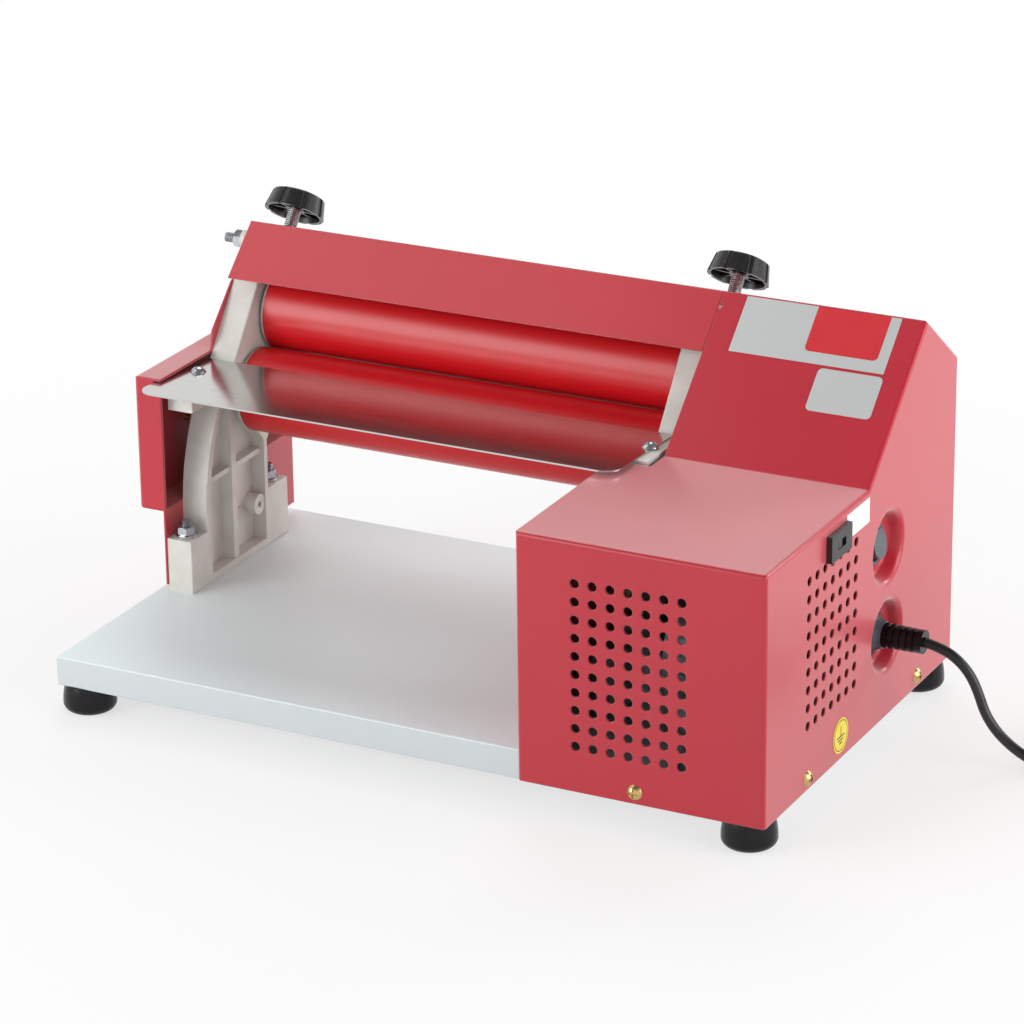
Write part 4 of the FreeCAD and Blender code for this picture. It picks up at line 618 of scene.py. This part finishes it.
def mesh_piece(name: str, shape: bmesh.types.BMesh) -> bpy.types.Object:
    """Turn a finished bmesh into a flat-shaded object at the origin.

    Args:
        name: the piece's name.
        shape: the bmesh, in metres in the model's frame; it is freed.

    Returns:
        The new object, linked to the scene.
    """
    mesh = bpy.data.meshes.new(name)
    shape.to_mesh(mesh)
    shape.free()
    piece = bpy.data.objects.new(name, mesh)
    bpy.context.scene.collection.objects.link(piece)
    return piece


@dataclass
class Assembly:
    """Sub-assembly of the machine: its CAD nodes and the finish that each of them gets."""

    plan: dict[str, str] = field(default_factory=dict)

    def build(self, nodes: Nodes, finisher: Finisher) -> None:
        """Dress the CAD nodes; a sub-assembly with pieces of its own adds them here.

        Args:
            nodes: CAD nodes by name.
            finisher: what keeps the materials.
        """
        finisher.dress_nodes(nodes, self.plan)


@dataclass
class BoardAndFeet(Assembly):
    """White board on four rubber feet with their screws."""

    plan: dict[str, str] = field(default_factory=lambda: {
        "base_board": "board", "foot_front_left": "rubber", "foot_back_left": "rubber",
        "foot_front_right": "rubber", "foot_back_right": "rubber", "foot_screws": "zinc"})


@dataclass
class SideFrames(Assembly):
    """Ribbed off-white frames with their bolts, blocks, spindles, knobs and tie rod."""

    plan: dict[str, str] = field(default_factory=lambda: {
        "left_side_frame": "frame", "right_side_frame": "frame", "frame_bolts": "upright_thread",
        "frame_washers": "zinc", "frame_nuts": "zinc", "left_bearing_block": "block",
        "right_bearing_block": "block", "upper_bushes": "bronze", "lower_bushes": "bronze",
        "left_spindle": "leaning_thread", "right_spindle": "leaning_thread",
        "spindle_nuts": "zinc", "left_knob": "knob", "right_knob": "knob",
        "tie_rod": "cross_thread", "tie_rod_nuts": "zinc"})


@dataclass
class Rollers(Assembly):
    """Red rollers with pale end plugs on steel shafts, and the gears that join them."""

    plan: dict[str, str] = field(default_factory=lambda: {
        "lower_roller": "roller", "upper_roller": "roller", "lower_roller_plugs": "plug",
        "upper_roller_plugs": "plug", "lower_shaft": "steel", "upper_shaft": "steel",
        "lower_shaft_collar": "steel", "lower_roller_gear": "gear", "upper_roller_gear": "gear",
        "drive_gear": "gear"})


@dataclass
class SheetWork(Assembly):
    """Feed tray, cross cover, left cover and motor housing with their screws."""

    plan: dict[str, str] = field(default_factory=lambda: {
        # The cross cover's paler red is painted light.
        "feed_tray": "tray", "tray_screws": "zinc", "left_cover": "red", "cross_cover": "lit_cover_red",
        "motor_housing": "red", "cover_screws": "brassy"})


@dataclass(frozen=True)
class SignBar:
    """Printed bar: its middle's height over the sign's middle and its half sides, in millimetres."""

    up: float
    half_width: float
    half_height: float


@dataclass
class Controls(Assembly):
    """Switch, voltage selector and the bare labels, with the red panel and the earth sign.

    Lengths are in millimetres from the board's front left top corner, apart from the panel's foot
    and head, which are counted up the housing's slanted face from its lower end.
    """

    plan: dict[str, str] = field(default_factory=lambda: {
        "rocker_bezel": "rocker", "rocker_button": "rocker", "selector_plate": "switch",
        "selector_slider": "switch", "silver_labels": "foil", "selector_label": "sticker",
        "earth_label": "yellow"})
    face_slope: float = math.radians(42.6)
    ridge_back: float = 220.9
    ridge_height: float = 206.0
    box_height: float = 131.3
    label_thickness: float = 0.3
    panel_left: float = 389.2
    panel_right: float = 434.3
    panel_foot: float = 80.0
    panel_head: float = 109.2
    panel_corner: float = 3.0
    panel_thickness: float = 0.12
    sign_back: float = 102.8
    sign_height: float = -3.5
    sign_radius: float = 9.3
    sign_hollow: float = 0.945
    ink_thickness: float = 0.05
    sign_bars: tuple[SignBar, ...] = (
        SignBar(2.6, 0.35, 3.0), SignBar(-0.6, 5.2, 0.42), SignBar(-2.6, 3.6, 0.42),
        SignBar(-4.6, 2.0, 0.42))

    def face_frame(self) -> Matrix:
        """Frame of the housing's slanted face.

        Returns:
            The frame at the face's lower end, with X along the rollers and Y up the slope.
        """
        turn = Matrix.Rotation(self.face_slope, 4, "X")
        ridge = board_point(0, self.ridge_back, self.ridge_height)
        run = (self.ridge_height - self.box_height) / math.sin(self.face_slope)
        foot = ridge - turn.to_3x3() @ Vector((0, run * MM, 0))
        return Matrix.Translation(foot) @ turn

    def red_panel(self) -> bpy.types.Object:
        """Plain red panel with round lower corners on the wide silver label.

        Returns:
            The panel's object.
        """
        shape = bmesh.new()
        middle = Vector(((self.panel_left + self.panel_right) / 2,
                         (self.panel_foot + self.panel_head) / 2,
                         self.label_thickness + self.panel_thickness / 2)) * MM
        size = Vector((self.panel_right - self.panel_left, self.panel_head - self.panel_foot,
                       self.panel_thickness)) * MM
        add_box(shape, middle, size)
        corners = [edge for edge in shape.edges
                   if abs(edge.verts[0].co.z - edge.verts[1].co.z) > self.panel_thickness * MM / 2
                   and edge.verts[0].co.y < middle.y]
        bmesh.ops.bevel(shape, geom=corners, offset=self.panel_corner * MM, segments=6,
                        profile=0.5, affect="EDGES", material=-1)
        bmesh.ops.transform(shape, matrix=self.face_frame(), verts=shape.verts)
        return mesh_piece("red_label_panel", shape)

    def earth_sign(self) -> bpy.types.Object:
        """Printed earth sign: a ring, a stem and three bars of falling length.

        Returns:
            The sign's object, on the outer side of its round label.
        """
        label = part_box("earth_label")[1][0]
        middle = board_point(0, self.sign_back, self.sign_height)
        shape = bmesh.new()
        for bar in self.sign_bars:
            spot = Vector((label + self.ink_thickness / 2 * MM, middle.y, middle.z + bar.up * MM))
            size = Vector((self.ink_thickness, 2 * bar.half_width, 2 * bar.half_height)) * MM
            add_box(shape, spot, size)
        circle = bmesh.ops.create_circle(shape, segments=64, radius=self.sign_radius * MM)
        rim = circle["verts"]
        edges = [edge for edge in shape.edges if edge.is_wire]
        ring = bmesh.ops.extrude_edge_only(shape, edges=edges)["geom"]
        inner = [item for item in ring if isinstance(item, bmesh.types.BMVert)]
        bmesh.ops.scale(shape, vec=(self.sign_hollow, self.sign_hollow, 1.0), verts=inner)
        turn = Matrix.Rotation(math.radians(90), 4, "Y")
        spot = Vector((label + self.ink_thickness * MM, middle.y, middle.z))
        bmesh.ops.transform(shape, matrix=Matrix.Translation(spot) @ turn, verts=rim + inner)
        return mesh_piece("earth_sign", shape)

    def build(self, nodes: Nodes, finisher: Finisher) -> None:
        """Dress the controls and add the label's panel and the earth sign.

        Args:
            nodes: CAD nodes by name.
            finisher: what keeps the materials.
        """
        super().build(nodes, finisher)
        panel = self.red_panel()
        finisher.dress(panel, "panel")
        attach(panel, "machine_base")
        sign = self.earth_sign()
        finisher.dress(sign, "ink")
        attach(sign, "machine_base")
        log.info("label panel and earth sign")


@dataclass
class Drive(Assembly):
    """Motor, belt, pulleys, countershaft and capacitor inside the housing."""

    plan: dict[str, str] = field(default_factory=lambda: {
        "motor_body": "cast", "motor_cradle": "sheet", "motor_shaft": "steel",
        "motor_fan": "fan", "motor_pulley": "steel", "drive_belt": "belt",
        "countershaft": "steel", "counter_pulley": "cast", "counter_stand": "sheet",
        "start_capacitor": "capacitor"})


@dataclass
class MainsCord(Assembly):
    """Mains cord from the strain relief down to its coil on the floor, with the plug.

    Lengths are in millimetres, and points are counted from the board's front left top corner.
    """

    diameter: float = 6.0
    floor: float = -35.0
    route: tuple[Point, ...] = (
        (479.2, 169.0, 32.3), (490.1, 169.0, 30.4), (500.0, 169.0, 25.1), (507.7, 169.0, 17.1),
        (512.8, 169.0, 6.6), (516.8, 169.0, -4.5), (523.4, 169.0, -13.8), (532.2, 169.0, -21.3),
        (542.4, 169.0, -27.1), (553.5, 169.0, -30.7), (564.9, 169.0, -32.0),
        (576.3, 169.0, -32.0))
    inward_turns: float = 3.0
    rise_turns: float = 0.5
    outward_turns: float = 2.5
    points_per_turn: int = 14
    outer_radius: float = 45.0
    coil_gap: float = 0.5
    coil_run: float = 6.0
    plug_run: float = 12.0
    plan: dict[str, str] = field(default_factory=lambda: {
        "cord_gland": "gland", "strain_relief": "rubber", "mains_plug": "plug_and_pins"})

    def coil_point(self, turns: float) -> Point:
        """Point of the coil, which runs inwards on the floor, rises, and runs outwards above.

        Args:
            turns: turns of the coil up to the point.

        Returns:
            The point in millimetres from the board's corner.
        """
        pitch = self.diameter + self.coil_gap
        inner = self.outer_radius - pitch * self.inward_turns
        above = self.inward_turns + self.rise_turns
        height = pitch
        if turns <= self.inward_turns:
            radius = self.outer_radius - pitch * turns
            height = 0.0
        elif turns < above:
            share = (turns - self.inward_turns) / self.rise_turns
            height = pitch * (1 - math.cos(math.pi * share)) / 2
            radius = inner - pitch * self.rise_turns / math.pi * math.sin(math.pi * share)
        else:
            radius = inner + pitch * (turns - above)
        angle = 2 * math.pi * turns - math.pi / 2
        last = self.route[-1]
        return (last[0] + self.coil_run + radius * math.cos(angle),
                last[1] + self.outer_radius + radius * math.sin(angle),
                self.floor + self.diameter / 2 + height)

    def points(self) -> list[Point]:
        """Control points of the whole cord.

        Returns:
            The route, the coil and the short run into the plug.
        """
        total = self.inward_turns + self.rise_turns + self.outward_turns
        count = round(total * self.points_per_turn)
        coil = [self.coil_point(total * step / count) for step in range(count + 1)]
        end = (coil[-1][0] + self.plug_run, coil[-1][1], coil[-1][2])
        return [*self.route, *coil, end]

    def curve(self) -> tuple[bpy.types.Object, float]:
        """Round cord on one smooth spline.

        Returns:
            The curve object and its length in metres.
        """
        points = [board_point(*point) for point in self.points()]
        data = bpy.data.curves.new("mains_cord", "CURVE")
        data.dimensions = "3D"
        spline = data.splines.new("NURBS")
        spline.points.add(len(points) - 1)
        for knot, point in zip(spline.points, points):
            knot.co = (*point, 1.0)
        spline.order_u = 3
        spline.use_endpoint_u = True
        spline.resolution_u = 6
        piece = bpy.data.objects.new("mains_cord", data)
        bpy.context.scene.collection.objects.link(piece)
        line = bpy.data.meshes.new_from_object(piece)
        places = [vert.co.copy() for vert in line.vertices]
        length = sum((far - near).length for near, far in zip(places, places[1:]))
        bpy.data.meshes.remove(line)
        data.bevel_depth = self.diameter / 2 * MM
        data.bevel_resolution = 5
        data.use_fill_caps = True
        return piece, length

    def build(self, nodes: Nodes, finisher: Finisher) -> None:
        """Dress the pieces on the cord and make the cord itself.

        Args:
            nodes: CAD nodes by name.
            finisher: what keeps the materials.
        """
        super().build(nodes, finisher)
        cord, length = self.curve()
        finisher.dress(cord, "cord")
        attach(cord, "machine_base")
        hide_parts("cord_tube", "cord_coil")
        log.info("cord of %.3f m", length)


@dataclass(frozen=True)
class Softbox:
    """Square lamp: its place and the point it faces, in metres in the model's frame."""

    name: str
    place: Point
    target: Point
    side: float
    watts: float

    def hang(self) -> None:
        """Add the lamp to the scene."""
        data = bpy.data.lights.new(self.name, "AREA")
        data.shape = "SQUARE"
        data.size = self.side
        data.energy = self.watts
        lamp = bpy.data.objects.new(self.name, data)
        lamp.location = self.place
        aim = Vector(self.target) - Vector(self.place)
        lamp.rotation_euler = aim.to_track_quat("-Z", "Y").to_euler()
        bpy.context.scene.collection.objects.link(lamp)


@dataclass
class Studio:
    """Pale floor, soft lights and the camera at the photograph's angle.

    The camera's place is in millimetres from the board's front left top corner and its three angles
    are in degrees. The world dims from bright_height to dim_height, which are heights of a direction
    of length 1, down to its overhead share.
    """

    lens: float = 155.505
    camera_place: Point = (1340.9, -1996.1, 1022.9)
    yaw: float = 27.47
    pitch: float = 21.38
    roll: float = -0.75
    world_strength: float = 1.05
    bright_height: float = 0.42
    dim_height: float = 0.70
    overhead: float = 0.20
    floor_radius: float = 6.0
    floor_grey: float = 0.88
    fade_start: float = 0.30
    fade_end: float = 0.80
    fade_least: float = 0.66
    softboxes: tuple[Softbox, ...] = (
        Softbox("back_box", (-0.7, 1.5, 2.3), (0.0, 0.0, 0.1), side=1.4, watts=22.0),
        Softbox("back_right_box", (1.0, 1.7, 0.75), (0.2, 0.0, 0.1), side=0.6, watts=7.0),
        Softbox("right_box", (1.9, 0.1, 0.7), (0.2, 0.0, 0.1), side=1.2, watts=21.0),
        Softbox("front_box", (-1.0, -1.25, 0.55), (-0.05, 0.0, 0.1), side=0.9, watts=12.0),
        Softbox("upper_left_box", (-1.0, -0.35, 1.5), (-0.1, 0.0, 0.2), side=0.8, watts=2.6))

    def camera(self) -> None:
        """Set the camera from its place and its three angles."""
        yaw, pitch, roll = (math.radians(value) for value in (self.yaw, self.pitch, self.roll))
        ahead = Vector((-math.sin(yaw) * math.cos(pitch), math.cos(yaw) * math.cos(pitch),
                        -math.sin(pitch)))
        right = Vector((math.cos(yaw), math.sin(yaw), 0.0))
        up = right.cross(ahead)
        turned_right = right * math.cos(roll) + up * math.sin(roll)
        turned_up = up * math.cos(roll) - right * math.sin(roll)
        data = bpy.data.cameras.new("camera")
        data.lens = self.lens
        data.sensor_width = 36.0
        data.clip_end = 50.0
        camera = bpy.data.objects.new("camera", data)
        turn = Matrix((turned_right, turned_up, -ahead)).transposed().to_4x4()
        camera.matrix_world = Matrix.Translation(board_point(*self.camera_place)) @ turn
        bpy.context.scene.collection.objects.link(camera)
        bpy.context.scene.camera = camera

    def world(self) -> None:
        """White background, dim overhead, that metal and gloss mirror as the camera sees it."""
        world = bpy.data.worlds.new("studio")
        world.use_nodes = True
        graph = NodeGraph(world.node_tree)
        rays = graph.node("ShaderNodeLightPath").outputs
        mirrored = graph.math("MAXIMUM", rays["Is Glossy Ray"], rays["Is Transmission Ray"])
        seen = graph.math("MAXIMUM", rays["Is Camera Ray"], mirrored)
        direction = graph.node("ShaderNodeTexCoord").outputs["Generated"]
        rise = graph.node("ShaderNodeSeparateXYZ", {"Vector": direction}).outputs["Z"]
        shown = graph.spread(rise, 1.0, self.overhead, start=self.bright_height, end=self.dim_height)
        lit = graph.math("MULTIPLY", shown, self.world_strength)
        skies = [graph.node("ShaderNodeBackground", {"Color": WHITE, "Strength": strength})
                 for strength in (lit, shown)]
        mix = graph.node("ShaderNodeMixShader",
                         {0: seen, 1: skies[0].outputs[0], 2: skies[1].outputs[0]})
        graph.node("ShaderNodeOutputWorld", {"Surface": mix.outputs[0]})
        bpy.context.scene.world = world

    def floor(self) -> None:
        """Round white floor with a light shadow, that fades into the white background."""
        shape = bmesh.new()
        bmesh.ops.create_circle(shape, cap_ends=True, segments=96, radius=self.floor_radius)
        piece = mesh_piece("floor", shape)
        graph = SurfaceGraph("studio_floor")
        grey = self.floor_grey
        graph.surface(Base_Color=(grey, grey, grey, 1.0), Roughness=0.9, Specular_IOR_Level=0.1)
        away = graph.node("ShaderNodeVectorMath", {0: graph.place}, operation="LENGTH")
        fade = graph.spread(away.outputs["Value"], self.fade_least, 1.0, start=self.fade_start,
                            end=self.fade_end)
        glow = graph.node("ShaderNodeEmission", {"Color": WHITE, "Strength": 1.0})
        rays = graph.node("ShaderNodeLightPath").outputs
        seen = graph.math("MAXIMUM", rays["Is Camera Ray"], rays["Is Glossy Ray"])
        mix = graph.node("ShaderNodeMixShader", {0: graph.math("MULTIPLY", fade, seen),
                                                 1: graph.shader.outputs[0], 2: glow.outputs[0]})
        graph.feed(graph.output.inputs["Surface"], mix.outputs[0])
        piece.data.materials.append(graph.material)

    def build(self) -> None:
        """Set up the whole studio."""
        self.camera()
        self.world()
        self.floor()
        for softbox in self.softboxes:
            softbox.hang()
        bpy.context.scene.view_settings.view_transform = "Standard"
        log.info("studio")


def main(frame: dict[str, object]) -> None:
    """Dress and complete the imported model.
    """
    nodes = frame["nodes"]
    finisher = Finisher()
    Studio().build()
    for assembly in (MainsCord(), BoardAndFeet(), SideFrames(), Rollers(), SheetWork(), Controls(),
                     Drive()):
        assembly.build(nodes, finisher)


if __name__ == "__main__":
    logging.basicConfig(level=logging.INFO, format="%(name)s %(message)s")
    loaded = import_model()
    main(loaded)
